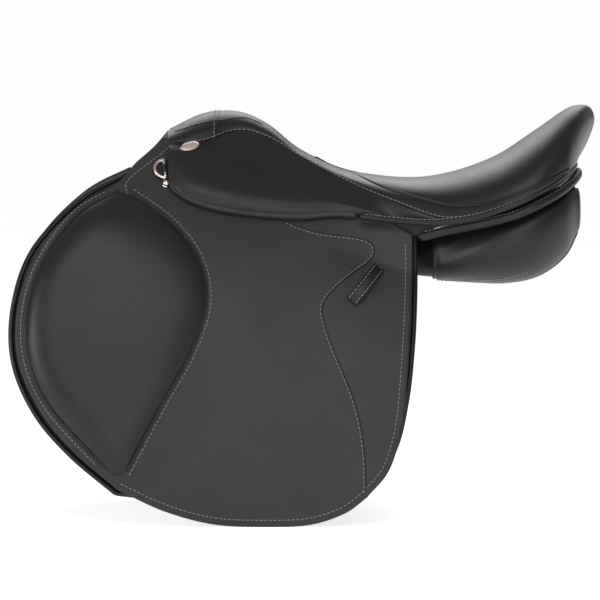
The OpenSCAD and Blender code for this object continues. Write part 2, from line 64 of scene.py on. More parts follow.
def curve_at(points, s):
    """Where a smooth curve through the points is at each s from 0 to 1."""
    p = np.asarray(points, float)
    s = np.clip(np.atleast_1d(np.asarray(s, float)), 0, 1)
    last = len(p) - 1
    t = s * last
    i = np.minimum(np.floor(t).astype(int), last - 1)
    f = (t - i)[:, None]
    b, c = p[i], p[i + 1]
    a = np.where((i == 0)[:, None], 2 * b - c, p[np.maximum(i - 1, 0)])
    d = np.where((i == last - 1)[:, None], 2 * c - b, p[np.minimum(i + 2, last)])
    return (2 * b + (c - a) * f + (2 * a - 5 * b + 4 * c - d) * f ** 2
            + (3 * b - a - 3 * c + d) * f ** 3) / 2


def spline(points, n):
    return curve_at(points, np.linspace(0, 1, n + 1))


def run_along(p):
    """The length along a polyline up to each of its points."""
    return np.concatenate([[0], np.cumsum(np.linalg.norm(np.diff(p, axis=0), axis=1))])


def evenly(points, step):
    """Points along a polyline, about one step apart."""
    p = np.asarray(points, float)
    run = run_along(p)
    at = np.linspace(0, run[-1], max(2, int(round(run[-1] / step)) + 1))
    return np.stack([np.interp(at, run, p[:, k]) for k in range(p.shape[1])], 1)


def smooth(points, step=3.0):
    """A smooth curve through given points, resampled evenly."""
    return evenly(spline(points, 24 * len(points)), step)


def blend_steps(length, step, fine=(0.0, 0.5, 1.3, 2.4, 4.0, 6.5, 9.5)):
    """Parameters from 0 to 1 over a length, closer together at both ends."""
    inner = np.linspace(fine[-1], length - fine[-1],
                        max(3, int(round((length - 2 * fine[-1]) / step)) + 1))
    ends = np.array(fine[:-1])
    return np.concatenate([ends, inner, length - ends[::-1]]) / length


def along_curve(points, s):
    """Points on a smooth curve at each share s of its length."""
    p = spline(points, 24 * len(points))
    run = run_along(p)
    at = np.asarray(s) * run[-1]
    return np.stack([np.interp(at, run, p[:, k]) for k in range(p.shape[1])], 1)


def patch(top, bottom, front, rear, us, vs):
    """A grid of points inside four border curves that share their corners; us run along, vs down."""
    t, b = along_curve(top, us)[None], along_curve(bottom, us)[None]
    f, r = along_curve(front, vs)[:, None], along_curve(rear, vs)[:, None]
    u, v = us[None, :, None], vs[:, None, None]
    c = [t[:, :1], t[:, -1:], b[:, :1], b[:, -1:]]
    return ((1 - v) * t + v * b + (1 - u) * f + u * r
            - (1 - v) * ((1 - u) * c[0] + u * c[1]) - v * ((1 - u) * c[2] + u * c[3]))


def distance(points, line):
    """Distance from each point to a polyline, in its plane."""
    p = np.asarray(points, float).reshape(-1, 2)
    a, b = np.asarray(line[:-1], float), np.asarray(line[1:], float)
    d = b - a
    size = np.maximum((d ** 2).sum(1), 1e-9)
    best = np.full(len(p), 1e9)
    for k in range(0, len(p), 4000):
        q = p[k:k + 4000, None]
        t = np.clip(((q - a) * d).sum(2) / size, 0, 1)
        best[k:k + 4000] = np.linalg.norm(q - a - t[..., None] * d, axis=2).min(1)
    return best.reshape(np.asarray(points).shape[:-1])


def unit(v):
    return v / np.maximum(np.linalg.norm(v, axis=-1, keepdims=True), 1e-9)


# The side surface, as in the part's source.
HALF_W, LEAN, SPREAD = 113, 0.667, 110
BEND = (-297, 109)
BEND_A = math.atan(0.29)
FLARE_X, FLARE_K = -130, 0.0000228


def side_v(x, z):
    return (BEND[1] - z) * math.cos(BEND_A) - (x - BEND[0]) * math.sin(BEND_A)


def bend_z(x):
    return BEND[1] - (x - BEND[0]) * math.tan(BEND_A)


def side_slope(v):
    return np.where(v < 0, LEAN, LEAN * np.exp(-np.maximum(v, 0) * LEAN / SPREAD))


def side_w(x, z, out):
    v = side_v(x, z)
    half = np.where(v < 0, HALF_W + LEAN * v,
                    HALF_W + SPREAD * (1 - np.exp(-np.maximum(v, 0) * LEAN / SPREAD)))
    flare = FLARE_K * np.maximum(0, x - FLARE_X) ** 2 * np.maximum(0, -v)
    return half + flare + out * np.sqrt(1 + side_slope(v) ** 2)


def on_side(xz, out=0.0):
    """Points of the side surface, out mm outside the flap's outer face."""
    x, z = np.asarray(xz, float)[..., 0], np.asarray(xz, float)[..., 1]
    return np.stack([x, -side_w(x, z, out), z], -1)


def side_normal(xz):
    x, z = np.asarray(xz, float)[..., 0], np.asarray(xz, float)[..., 1]
    k = side_slope(side_v(x, z))
    return unit(np.stack([k * math.sin(BEND_A), -np.ones_like(k), k * math.cos(BEND_A)], -1))


# The skirt's straight bend line: x, half-width and height at its front and its rear.
SKIRT_FRONT, SKIRT_REAR = (-251, 86, 151.6), (-45, 98, 88.8)


def skirt_share(x):
    return (x - SKIRT_FRONT[0]) / (SKIRT_REAR[0] - SKIRT_FRONT[0])


def skirt_z(x):
    return SKIRT_FRONT[2] + skirt_share(x) * (SKIRT_REAR[2] - SKIRT_FRONT[2])


def skirt_out(x):
    w = SKIRT_FRONT[1] + skirt_share(x) * (SKIRT_REAR[1] - SKIRT_FRONT[1])
    z = skirt_z(x)
    return (w - side_w(x, z, 0)) / (side_w(x, z, 1) - side_w(x, z, 0))


# The seat surface: its crest in the middle and its edge on the left, from the pommel's front
# over the seat and cantle to the bottom of the cantle's back.
CREST = [
    [-252, 170], [-215, 187], [-180, 190], [-148, 177], [-110, 148], [-60, 126], [0, 116.6],
    [50, 121], [105, 140], [150, 169], [186, 193], [205, 196], [212, 182], [204, 157], [192, 136]
]
EDGE = [
    [-252, 70, 158], [-219, 66, 159], [-178, 49, 171], [-143, 50, 163], [-110, 57, 143],
    [-60, 72, 117], [0, 94, 92], [50, 114, 76], [106, 128, 86], [150, 123, 105], [176, 100, 120],
    [184, 80, 128], [188, 60, 132], [190, 46, 133], [191, 36, 133.5]
]


def seat_at(s, q):
    c, e = curve_at(CREST, s), curve_at(EDGE, s)
    t = np.abs(q)[..., None]
    top = np.stack([c[:, 0], 0 * c[:, 0], c[:, 1]], 1)
    mid = np.stack([(c[:, 0] + e[:, 0]) / 2, 0.92 * e[:, 1], c[:, 1]], 1)
    p = (1 - t) ** 2 * top + 2 * t * (1 - t) * mid + t * t * e
    p[..., 1] *= -np.sign(q + 1e-12)
    return p


def seat_normal(s, q):
    e = 0.004
    s0, q0 = np.clip(s, e, 1 - e), np.clip(q, e - 1, 1 - e)
    q0 = np.where(np.abs(q0) < 2 * e, 2 * e, q0)
    n = np.cross(seat_at(s0, q0 + e) - seat_at(s0, q0 - e), seat_at(s0 + e, q0) - seat_at(s0 - e, q0))
    return unit(n)


_ss, _qq = [a.ravel() for a in np.meshgrid(np.linspace(0, 0.86, 500), np.linspace(0, 1, 160))]
_seat_seen = seat_at(_ss, _qq)[:, [0, 2]]


def seat_find(xz):
    """The (s, q) of the left half of the seat that lie at these side-view places."""
    found = [int(np.argmin(((_seat_seen - p) ** 2).sum(1))) for p in np.asarray(xz, float)]
    s, q = _ss[found], _qq[found]
    window = np.ones(5) / 5
    for _ in range(3):
        s, q = [np.convolve(np.pad(a, 2, mode="reflect", reflect_type="odd"), window, "valid")
                for a in (s, q)]
    return s, q


# ---------------------------------------------------------------- meshes

def mirrored(v):
    return np.asarray(v, float) * [1, -1, 1]


def add_object(name, data):
    obj = bpy.data.objects.new(name, data)
    bpy.context.scene.collection.objects.link(obj)
    return obj


def make(name, verts, faces, material, body=None, slot=None, flat=False):
    """A mesh object from points in mm; it rides on a body if one is given."""
    mesh = bpy.data.meshes.new(name)
    mesh.from_pydata((np.asarray(verts, float) * MM).tolist(), [], [list(f) for f in faces])
    mesh.validate()
    mesh.update()
    obj = add_object(name, mesh)
    mesh.materials.append(material)
    if not flat:
        mesh.polygons.foreach_set("use_smooth", [True] * len(mesh.polygons))
    if body:
        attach(obj, body)
    return obj


def grid_faces(m, n, start=0, flip=False, wrap=False):
    """Quads of an m by n grid of points."""
    cols = n if wrap else n - 1
    j, i = [a.ravel() for a in np.meshgrid(np.arange(m - 1), np.arange(cols), indexing="ij")]
    a, b = j * n + i, j * n + (i + 1) % n
    f = np.stack([a, b, b + n, a + n], 1) + start
    return f[:, ::-1] if flip else f


def slab(inner, outer):
    """Closed surface between two grids: points and faces, with the outer grid facing out."""
    m, n = inner.shape[:2]
    verts = np.concatenate([inner.reshape(-1, 3), outer.reshape(-1, 3)])
    total = m * n
    rim = ([i for i in range(n)] + [j * n + n - 1 for j in range(1, m)]
           + [(m - 1) * n + i for i in range(n - 2, -1, -1)] + [j * n for j in range(m - 2, 0, -1)])
    wall = [(rim[k], rim[(k + 1) % len(rim)], rim[(k + 1) % len(rim)] + total, rim[k] + total)
            for k in range(len(rim))]
    faces = [*grid_faces(m, n), *grid_faces(m, n, total, flip=True), *wall]
    return verts, faces


def tube(rings, closed=False):
    """Closed surface through a row of rings."""
    rings = np.asarray(rings, float)
    m, n = rings.shape[:2]
    verts = rings.reshape(-1, 3)
    faces = list(grid_faces(m, n, flip=True, wrap=True))
    if closed:
        last = (m - 1) * n
        faces += [(last + i, i, (i + 1) % n, last + (i + 1) % n) for i in range(n)]
    else:
        faces += [tuple(range(n)), tuple(range((m - 1) * n + n - 1, (m - 1) * n - 1, -1))]
    return verts, faces


def cord(path, radius, sides=10, taper=0.0, flat=1.0, normals=None):
    """Rings round a path; taper shrinks both ends, flat squeezes it along the normals."""
    p = np.asarray(path, float)
    along = unit(np.gradient(p, axis=0))
    up = np.asarray(normals, float) if normals is not None else np.tile([0, 0, 1.0], (len(p), 1))
    side = unit(np.cross(up, along))
    up = unit(np.cross(along, side))
    run = run_along(p)
    r = np.zeros(len(p)) + radius
    if taper:
        end = np.minimum(run, run[-1] - run)
        r = r * np.sqrt(np.clip(1 - (1 - np.clip(end / taper, 0, 1)) ** 2, 0.01, 1))
    a = np.linspace(0, 2 * math.pi, sides, endpoint=False)
    return (p[:, None] + r[:, None, None] * (np.cos(a)[None, :, None] * side[:, None]
            + flat * np.sin(a)[None, :, None] * up[:, None]))


def join(parts):
    """Several (points, faces) as one."""
    verts, faces, start = [], [], 0
    for v, f in parts:
        verts.append(np.asarray(v))
        faces += [tuple(int(i) + start for i in face) for face in f]
        start += len(v)
    return np.concatenate(verts), faces


STITCH, STITCH_GAP, THREAD = 3.4, 1.5, 0.42
# One stitch: share of its length, share of the thread's radius, and how high it lies.
STITCH_SHAPE = [(-0.5, 0.35, -0.5), (-0.34, 0.9, 0.0), (0.0, 1.0, 0.25), (0.34, 0.9, 0.0),
                (0.5, 0.35, -0.5)]


def stitches(path, normals, sink=0.12):
    """A row of single stitches lying on a surface along a path."""
    p = evenly(np.concatenate([path, normals], 1), STITCH + STITCH_GAP)
    along = unit(np.gradient(p[:, :3], axis=0))
    n = unit(p[:, 3:])
    side = unit(np.cross(n, along))
    parts = []
    angles = np.linspace(0, 2 * math.pi, 6, endpoint=False)
    for k in range(len(p)):
        rings = []
        for t, r, lift in STITCH_SHAPE:
            centre = p[k, :3] + along[k] * t * STITCH + n[k] * (lift * THREAD + sink)
            rings.append([centre + THREAD * r * (math.cos(a) * side[k] + math.sin(a) * n[k])
                          for a in angles])
        parts.append(tube(rings))
    return join(parts)


def both(name, shape, material, body, slot=None, replaces=()):
    """The same piece on both sides; body and replaced nodes take the side's name where marked {}."""
    made = {}
    verts, faces = shape
    for side in SIDES:
        v = verts if side == "left" else mirrored(verts)
        f = faces if side == "left" else [tuple(face)[::-1] for face in faces]
        obj = make(f"{side}_{name}", v, f, material, body.format(side) if body else None, slot)
        if replaces:
            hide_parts(*[r.format(side) for r in replaces])
        made[side] = obj
    return made


# ---------------------------------------------------------------- materials

def nodes_of(name):
    mat = bpy.data.materials.new(name)
    mat.use_nodes = True
    tree = mat.node_tree
    return mat, tree, tree.nodes["Principled BSDF"]


def put(node, **values):
    """Sets a node's inputs by name, with _ for a space."""
    for key, value in values.items():
        node.inputs[key.replace("_", " ")].default_value = value


def coords_of(tree):
    return tree.nodes.new("ShaderNodeTexCoord").outputs["Object"]


def noise(tree, coords, scale, detail=3.0, rough=0.5):
    n = tree.nodes.new("ShaderNodeTexNoise")
    put(n, Scale=scale, Detail=detail, Roughness=rough)
    tree.links.new(coords, n.inputs["Vector"])
    return n.outputs["Fac"]


def ramp(tree, value, stops):
    r = tree.nodes.new("ShaderNodeValToRGB")
    for end in (0, -1):
        e = r.color_ramp.elements[end]
        e.position, e.color = stops[end][0], (*stops[end][1], 1)
    for at, colour in stops[1:-1]:
        e = r.color_ramp.elements.new(at)
        e.color = (*colour, 1)
    tree.links.new(value, r.inputs["Fac"])
    return r.outputs["Color"]


def grey(v, warm=0.0):
    return (v * (1 + warm), v, v * (1 - warm))


def math_node(tree, kind, a, b):
    m = tree.nodes.new("ShaderNodeMath")
    m.operation = kind
    for k, value in enumerate((a, b)):
        if hasattr(value, "is_output"):
            tree.links.new(value, m.inputs[k])
        else:
            m.inputs[k].default_value = value
    return m.outputs[0]


def summed(tree, a, share, b, other):
    """Two values added, each times its share."""
    return math_node(tree, "ADD", math_node(tree, "MULTIPLY", a, share),
                     math_node(tree, "MULTIPLY", b, other))


def press(tree, bsdf, height, strength, depth):
    """Lets a height tilt the surface's normals."""
    bump = tree.nodes.new("ShaderNodeBump")
    put(bump, Strength=strength, Distance=depth)
    tree.links.new(height, bump.inputs["Height"])
    tree.links.new(bump.outputs["Normal"], bsdf.inputs["Normal"])


def leather(name, shade, rough=0.42, grain=950, depth=0.00012, spread=0.3, sheen=0.02, coat=0.04,
            shine=0.32):
    """Finished leather: pebbled grain and pores, fine creases, cloudy dye and uneven polish."""
    mat, tree, bsdf = nodes_of(name)
    coords = coords_of(tree)
    cloud = noise(tree, coords, 14, 4, 0.6)
    fine = noise(tree, coords, 160, 3, 0.6)
    tone = summed(tree, cloud, 0.7, fine, 0.3)
    dark, light = shade * (1 - spread), shade * (1 + spread)
    colour = ramp(tree, tone,
                  [(0.3, grey(dark, 0.02)), (0.52, grey(shade, 0.01)), (0.72, grey(light, 0.0))])
    tree.links.new(colour, bsdf.inputs["Base Color"])
    polish = ramp(tree, summed(tree, noise(tree, coords, 9, 3, 0.5), 0.6, fine, 0.4),
                  [(0.3, grey(rough - 0.06)), (0.7, grey(rough + 0.08))])
    tree.links.new(polish, bsdf.inputs["Roughness"])
    cells = tree.nodes.new("ShaderNodeTexVoronoi")
    cells.feature = "DISTANCE_TO_EDGE"
    put(cells, Scale=grain)
    warp = tree.nodes.new("ShaderNodeVectorMath")
    warp.operation = "ADD"
    jitter = tree.nodes.new("ShaderNodeTexNoise")
    put(jitter, Scale=grain * 0.5)
    small = tree.nodes.new("ShaderNodeVectorMath")
    small.operation = "SCALE"
    put(small, Scale=0.6 / grain)
    tree.links.new(coords, jitter.inputs["Vector"])
    tree.links.new(jitter.outputs["Color"], small.inputs[0])
    tree.links.new(coords, warp.inputs[0])
    tree.links.new(small.outputs[0], warp.inputs[1])
    tree.links.new(warp.outputs[0], cells.inputs["Vector"])
    pebble = ramp(tree, cells.outputs["Distance"], [(0.0, grey(0.0)), (0.16, grey(0.8)), (0.5, grey(1.0))])
    crease = noise(tree, coords, 60, 5, 0.62)
    press(tree, bsdf, summed(tree, pebble, 0.7, crease, 0.9), 0.5, depth)
    put(bsdf, Sheen_Weight=sheen, Coat_Weight=coat, Coat_Roughness=0.38, Specular_IOR_Level=shine)
    return mat


def metal(name, colour, rough=0.22, brushed=0.0, share=1.0):
    """Plated or bare metal with faint scratches and smudges."""
    mat, tree, bsdf = nodes_of(name)
    coords = coords_of(tree)
    stretch = tree.nodes.new("ShaderNodeMapping")
    put(stretch, Scale=(1, 1, 1 + 30 * brushed))
    tree.links.new(coords, stretch.inputs["Vector"])
    scratch = noise(tree, stretch.outputs["Vector"], 420, 2, 0.6)
    smudge = noise(tree, coords, 70, 3, 0.5)
    tree.links.new(ramp(tree, smudge, [(0.3, tuple(c * 0.86 for c in colour)), (0.7, colour)]),
                   bsdf.inputs["Base Color"])
    worn = summed(tree, scratch, 0.5, smudge, 0.5)
    tree.links.new(ramp(tree, worn, [(0.3, grey(rough * 0.8)), (0.7, grey(rough * 1.35))]),
                   bsdf.inputs["Roughness"])
    press(tree, bsdf, scratch, 0.12, 0.00005)
    put(bsdf, Metallic=share)
    return mat


def fibre(name, light, dark, scale=900, rough=0.85, stretch=(1, 1, 1), depth=0.0002):
    """Thread, webbing, wood or foam: fine fibres or pores in two tones."""
    mat, tree, bsdf = nodes_of(name)
    coords = coords_of(tree)
    spread = tree.nodes.new("ShaderNodeMapping")
    put(spread, Scale=stretch)
    tree.links.new(coords, spread.inputs["Vector"])
    grain = noise(tree, spread.outputs["Vector"], scale, 3, 0.6)
    tree.links.new(ramp(tree, grain, [(0.3, dark), (0.7, light)]), bsdf.inputs["Base Color"])
    tree.links.new(ramp(tree, noise(tree, coords, scale * 0.2, 2, 0.5),
                        [(0.3, grey(rough - 0.1)), (0.7, grey(min(1.0, rough + 0.08)))]),
                   bsdf.inputs["Roughness"])
    press(tree, bsdf, grain, 0.4, depth)
    return mat


def webbing(name, light, dark):
    """Woven tape: two crossed sets of ribs."""
    mat, tree, bsdf = nodes_of(name)
    coords = coords_of(tree)
    waves = []
    for direction, scale in (("X", 420), ("Z", 300)):
        w = tree.nodes.new("ShaderNodeTexWave")
        w.bands_direction = direction
        put(w, Scale=scale, Distortion=0.6)
        tree.links.new(coords, w.inputs["Vector"])
        waves.append(w.outputs["Fac"])
    weave = math_node(tree, "MULTIPLY", waves[0], waves[1])
    tree.links.new(ramp(tree, weave, [(0.1, dark), (0.8, light)]), bsdf.inputs["Base Color"])
    tree.links.new(ramp(tree, noise(tree, coords, 50, 3), [(0.3, grey(0.75)), (0.7, grey(0.92))]),
                   bsdf.inputs["Roughness"])
    press(tree, bsdf, weave, 0.30, 0.0004)
    return mat


SEAT_LEATHER = leather("seat_leather", 0.0095, rough=0.36, grain=1150)
FLAP_LEATHER = leather("flap_leather", 0.0175, rough=0.50, grain=1000, depth=0.00010, sheen=0.04)
PAD_LEATHER = leather("pad_leather", 0.0095, rough=0.38, grain=1000)
EDGE_LEATHER = leather("edge_leather", 0.0055, rough=0.38, grain=1500, coat=0.08)
SWEAT_LEATHER = leather("sweat_leather", 0.0080, rough=0.52, grain=850)
STRAP_LEATHER = leather("strap_leather", 0.0085, rough=0.46, grain=800)
PANEL_LEATHER = leather("panel_leather", 0.0060, rough=0.36, grain=1150)
THREAD_MAT = fibre("thread", grey(0.27), grey(0.15), scale=2500, rough=0.7)
NICKEL = metal("nickel", (0.66, 0.61, 0.58), 0.2)
ROSE = metal("rose_metal", (0.74, 0.63, 0.59), 0.26)
BADGE_FACE = metal("badge_face", (0.44, 0.35, 0.32), 0.42, brushed=1.0, share=0.6)
# A lighter copy of the seat leather for the skirt's rolled edge: the extra lightness is a painted highlight.
BEAD_LEATHER_PAINTED_HIGHLIGHT = leather("bead_leather_painted_highlight", 0.0160, rough=0.42, grain=1400)
STEEL = metal("steel", (0.42, 0.42, 0.43), 0.32)
WOOD = fibre("tree_wood", (0.42, 0.27, 0.14), (0.26, 0.15, 0.07), scale=90, rough=0.6, stretch=(1, 6, 6))
TAPE = webbing("webbing", (0.50, 0.46, 0.38), (0.30, 0.27, 0.21))
FOAM = fibre("foam", (0.52, 0.47, 0.33), (0.38, 0.33, 0.21), scale=700, rough=0.92)

for node_name, node_object in NODES.items():
    if "tree" in node_name:
        chosen = WOOD
    elif "webb" in node_name or "webs" in node_name:
        chosen = TAPE
    elif node_name == "seat_foam":
        chosen = FOAM
    elif any(w in node_name for w in ("steel", "plate", "rivets", "tacks", "bar", "catch")):
        chosen = STEEL
    elif any(w in node_name for w in ("ring", "screws")) and "clip" not in node_name:
        chosen = NICKEL
    elif any(w in node_name for w in ("billet", "guard", "clip")):
        chosen = STRAP_LEATHER
    elif "lining" in node_name:
        chosen = PANEL_LEATHER
    else:
        chosen = SEAT_LEATHER
    node_object.data.materials.clear()
    node_object.data.materials.append(chosen)


# ---------------------------------------------------------------- helpers for laid-on detail

def inset(line, d):
    """A side-view line moved d mm to the right of its direction."""
    p = np.asarray(line, float)
    t = unit(np.gradient(p, axis=0))
    return p + d * np.stack([-t[:, 1], t[:, 0]], 1)


def part_of(line, a, b):
    """The stretch of a line between two shares of its length."""
    p = evenly(line, 1.5)
    return p[int(a * (len(p) - 1)):int(b * (len(p) - 1)) + 1]


def side_stitches(line, out=0.0):
    p = evenly(line, 2.0)
    return stitches(on_side(p, out), side_normal(p))


def side_cord(line, out, radius, sides=8, taper=3.0, flat=0.8):
    p = evenly(line, 2.5)
    return tube(cord(on_side(p, out), radius, sides, taper, flat, side_normal(p)))


def rounded(d, r, top, bottom):
    """Outer and inner offsets of a sheet whose edge is rounded over r."""
    mid = (top + bottom) / 2
    share = np.sqrt(np.clip(1 - (1 - np.clip(d / r, 0, 1)) ** 2, 0.02, 1))
    return mid + (top - mid) * share, mid + (bottom - mid) * share


def outline_of(grid):
    return np.concatenate([grid[0], grid[1:, -1], grid[-1, -2::-1], grid[-2::-1, 0]])


def swell(d, reach):
    """0 at an edge, rising in a quarter ellipse to 1 at the reach."""
    return np.sqrt(np.clip(1 - (1 - np.clip(d / reach, 0, 1)) ** 2, 0, 1))


def ease(t):
    t = np.clip(t, 0, 1)
    return t * t * (3 - 2 * t)


def bend_blend(obj, side, body, at, slope, above, below):
    """Bends a sheet between the saddle and a lifting body, across a straight bend line."""
    down = np.array([-math.sin(slope), 0, -math.cos(slope)])
    start = (np.array(at) - down * above) * MM
    end = (np.array(at) + down * below) * MM
    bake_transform(obj, "saddle", f"{side}_{body}", start=start.tolist(), end=end.tolist())


# ---------------------------------------------------------------- flaps

FLAP_T = 4.0
FLAP_TOP = [[-259, 165], [-236, 156], [-200, 146], [-130, 133], [-60, 101], [12, 60]]
FLAP_FRONT = [
    [-259, 165], [-272, 150], [-291, 133], [-312, bend_z(-312)], [-362, 82], [-396, 38], [-414, -16],
    [-413, -72],
    [-389, -126], [-352, -170], [-304, -211]
]
FLAP_BOTTOM = [
    [-304, -211], [-256, -233], [-204, -247], [-150, -250], [-100, -248], [-62, -236], [-38, -219]
]
FLAP_REAR = [[12, 60], [12, 40], [12, bend_z(12)], [10, -30], [6, -90], [0, -145], [-14, -190], [-38, -219]]

flap_xz = patch(FLAP_TOP, FLAP_BOTTOM, FLAP_FRONT, FLAP_REAR, blend_steps(340, 4.0), blend_steps(430, 4.0))
flap_top, flap_under = rounded(distance(flap_xz, outline_of(flap_xz)), 1.8, 0.0, -FLAP_T)
flaps = both("flap_leather", slab(on_side(flap_xz, flap_under), on_side(flap_xz, flap_top)), FLAP_LEATHER,
             None, "flap_leather", replaces=("{}_flap", "{}_flap_head"))

# The stirrup bar stands in a window cut in the flap's fixed top part.
BAR_AT = (-165, 104)
BAR_L, ARM_L = 56, 9


def side_axes(xz):
    """Axes on the side: along to the rear, up the side, and outwards."""
    n = side_normal(np.array([xz]))[0]
    ex = unit(np.array([-n[1], n[0], 0.0]))
    return ex, np.cross(n, ex), n


def change_mesh(obj, kind, **settings):
    """Applies one modifier to a mesh."""
    modifier = obj.modifiers.new(kind.lower(), kind)
    for key, value in settings.items():
        setattr(modifier, key, value)
    graph = bpy.context.evaluated_depsgraph_get()
    mesh = bpy.data.meshes.new_from_object(obj.evaluated_get(graph))
    obj.modifiers.clear()
    obj.data = mesh


def cut_window(obj, side):
    ex, ey, n = side_axes(BAR_AT)
    base = on_side(np.array([BAR_AT]))[0]
    corners = [base + a * ex + b * ey + c * n for c in (-8, 6) for b in (-10, 10)
               for a in (-BAR_L / 2 - ARM_L - 1.5, BAR_L / 2 + 1.5)]
    faces = [(0, 2, 3, 1), (4, 5, 7, 6), (0, 1, 5, 4), (2, 6, 7, 3), (0, 4, 6, 2), (1, 3, 7, 5)]
    if side == "right":
        corners, faces = mirrored(corners), [f[::-1] for f in faces]
    cutter = make("cutter", corners, faces, EDGE_LEATHER, flat=True)
    change_mesh(obj, "BOOLEAN", object=cutter, operation="DIFFERENCE", solver="EXACT")
    bpy.data.objects.remove(cutter)


# The leather bends from this far above its bend line to this far below it.
BEND_MID, BEND_ABOVE, BEND_BELOW = (-150, 0, bend_z(-150)), 6, 10
for flap_side, flap in flaps.items():
    cut_window(flap, flap_side)
    bend_blend(flap, flap_side, "flap", BEND_MID, BEND_A, BEND_ABOVE, BEND_BELOW)

# Stitch rows: round the flap's edge, the shaped seam, and behind and before the knee pad.
edge_chain = np.concatenate([smooth(FLAP_BOTTOM), smooth(FLAP_REAR[::-1])[1:]])
edge_row = inset(evenly(edge_chain, 3), 7.5)
flap_low = edge_row[edge_row[:, 1] < 50]
SHAPED_SEAM = [
    [-124, 72], [-110, 66], [-88, 60], [-56, 56], [-38, 52], [-31, 44], [-36, 33], [-56, 19], [-76, 2],
    [-87, -14], [-86, -32], [-78, -56], [-67, -83], [-54, -115], [-46, -146], [-42, -178], [-41, -212]
]
shaped = smooth(SHAPED_SEAM)
HEAD_SEAM = [[-252, 155], [-265, 144], [-280, 133], [-294, 122], [-299, 114], [-297, 105]]

PAD_FRONT = [
    [-306, bend_z(-306) - 4], [-350, 82], [-386, 34], [-402, -16], [-401, -68], [-378, -120], [-318, -186]
]
PAD_REAR = [
    [-292, bend_z(-292) - 4], [-251, 74], [-221, 36], [-212, -10], [-228, -62], [-260, -119], [-298, -190]
]
PAD_TOP = [[-306, bend_z(-306) - 4], [-299, bend_z(-299) - 4], [-292, bend_z(-292) - 4]]
PAD_BOTTOM = [[-318, -186], [-308, -194], [-298, -190]]
pad_rear, pad_front = smooth(PAD_REAR), smooth(PAD_FRONT)

flap_rows = [side_stitches(flap_low), side_stitches(shaped), side_stitches(inset(pad_rear, 6.0)),
             side_stitches(smooth(HEAD_SEAM)), side_stitches(part_of(inset(pad_front, -6.5), 0.04, 0.97))]
laid = [both("flap_stitching", join(flap_rows), THREAD_MAT, None, "webbing"),
        both("flap_seam_cord", side_cord(inset(shaped, 1.6), 0.1, 0.9), EDGE_LEATHER, None, "flap_leather")]
for pieces in laid:
    for flap_side, piece in pieces.items():
        bend_blend(piece, flap_side, "flap", BEND_MID, BEND_A, BEND_ABOVE, BEND_BELOW)
both("pad_piping",
     join([side_cord(inset(pad_rear, 1.2), 0.6, 1.7), side_cord(inset(pad_front, -1.2), 0.6, 1.7)]),
     EDGE_LEATHER, "{}_flap", "flap_leather")


# ---------------------------------------------------------------- knee pads

def crowned(grid, low, rise, front, rear, reach_front, reach_rear, ends=18):
    """Offsets of a stuffed pad: steep at its front, gentle at its rear."""
    h = (swell(distance(grid, front), reach_front) * swell(distance(grid, rear), reach_rear)
         * swell(distance(grid, grid[0]), ends) * swell(distance(grid, grid[-1]), ends))
    return low + rise * h


pad_xz = patch(PAD_TOP, PAD_BOTTOM, PAD_FRONT, PAD_REAR, blend_steps(150, 4.0), blend_steps(330, 4.0))
pad_outer = crowned(pad_xz, 1.6, 13.0, pad_front, pad_rear, 30, 62, 34)
both("knee_roll", slab(on_side(pad_xz, 0.5), on_side(pad_xz, pad_outer)), PAD_LEATHER,
     "{}_flap", "smooth_leather", replaces=("{}_knee_pad",))


# ---------------------------------------------------------------- sweat flaps and blocks

SWEAT_OUT, SWEAT_T = -22, 4.0
SWEAT_TOP = [[-296, 127], [16, 62]]
SWEAT_BOTTOM = [[-309, -216], [-256, -223], [-204, -236], [-150, -239], [-100, -236], [-65, -226],
                [-38, -208]]
SWEAT_FRONT = [
    [-296, 127], [-348, 99], [-399, 46], [-420, -14], [-420, -74], [-397, -129], [-359, -174], [-309, -216]
]
SWEAT_REAR = [[16, 62], [16, 0], [13, -60], [6, -120], [-8, -172], [-38, -208]]
sweat_xz = patch(SWEAT_TOP, SWEAT_BOTTOM, SWEAT_FRONT, SWEAT_REAR, blend_steps(330, 5.0),
                 blend_steps(400, 5.0))
sweat_top, sweat_under = rounded(distance(sweat_xz, outline_of(sweat_xz)), 1.6, SWEAT_OUT,
                                 SWEAT_OUT - SWEAT_T)
both("sweat_leather", slab(on_side(sweat_xz, sweat_under), on_side(sweat_xz, sweat_top)), SWEAT_LEATHER,
     "saddle", "flap_leather", replaces=("{}_sweat_flap",))
sweat_edge = evenly(np.concatenate([smooth(SWEAT_FRONT), smooth(SWEAT_BOTTOM)[1:],
                                    smooth(SWEAT_REAR[::-1])[1:]]), 3)
both("sweat_edge_roll", side_cord(inset(sweat_edge, 1.4), SWEAT_OUT - 1.0, 3.2, 10, flat=0.9), EDGE_LEATHER,
     "saddle", "flap_leather")
both("sweat_stitching", side_stitches(inset(sweat_edge, 8), SWEAT_OUT), THREAD_MAT, "saddle", "webbing")


def block(name, top, bottom, front, rear):
    xz = patch(top, bottom, front, rear, blend_steps(40, 4.0, (0, 0.6, 1.5, 3, 5)),
               blend_steps(140, 4.0, (0, 0.6, 1.5, 3, 5)))
    f, r = smooth(front), smooth(rear)
    outer = crowned(xz, SWEAT_OUT + 2.4, 12.0, f, r, 16, 18, 18)
    both(name, slab(on_side(xz, SWEAT_OUT + 0.6), on_side(xz, outer)), PAD_LEATHER, "saddle",
         "flap_leather",
         replaces=("{}_" + name.replace("_pad", ""),))
    ring = evenly(outline_of(xz), 2.5)
    both(name + "_piping", side_cord(ring, SWEAT_OUT + 1.0, 1.3), EDGE_LEATHER, "saddle", "flap_leather")


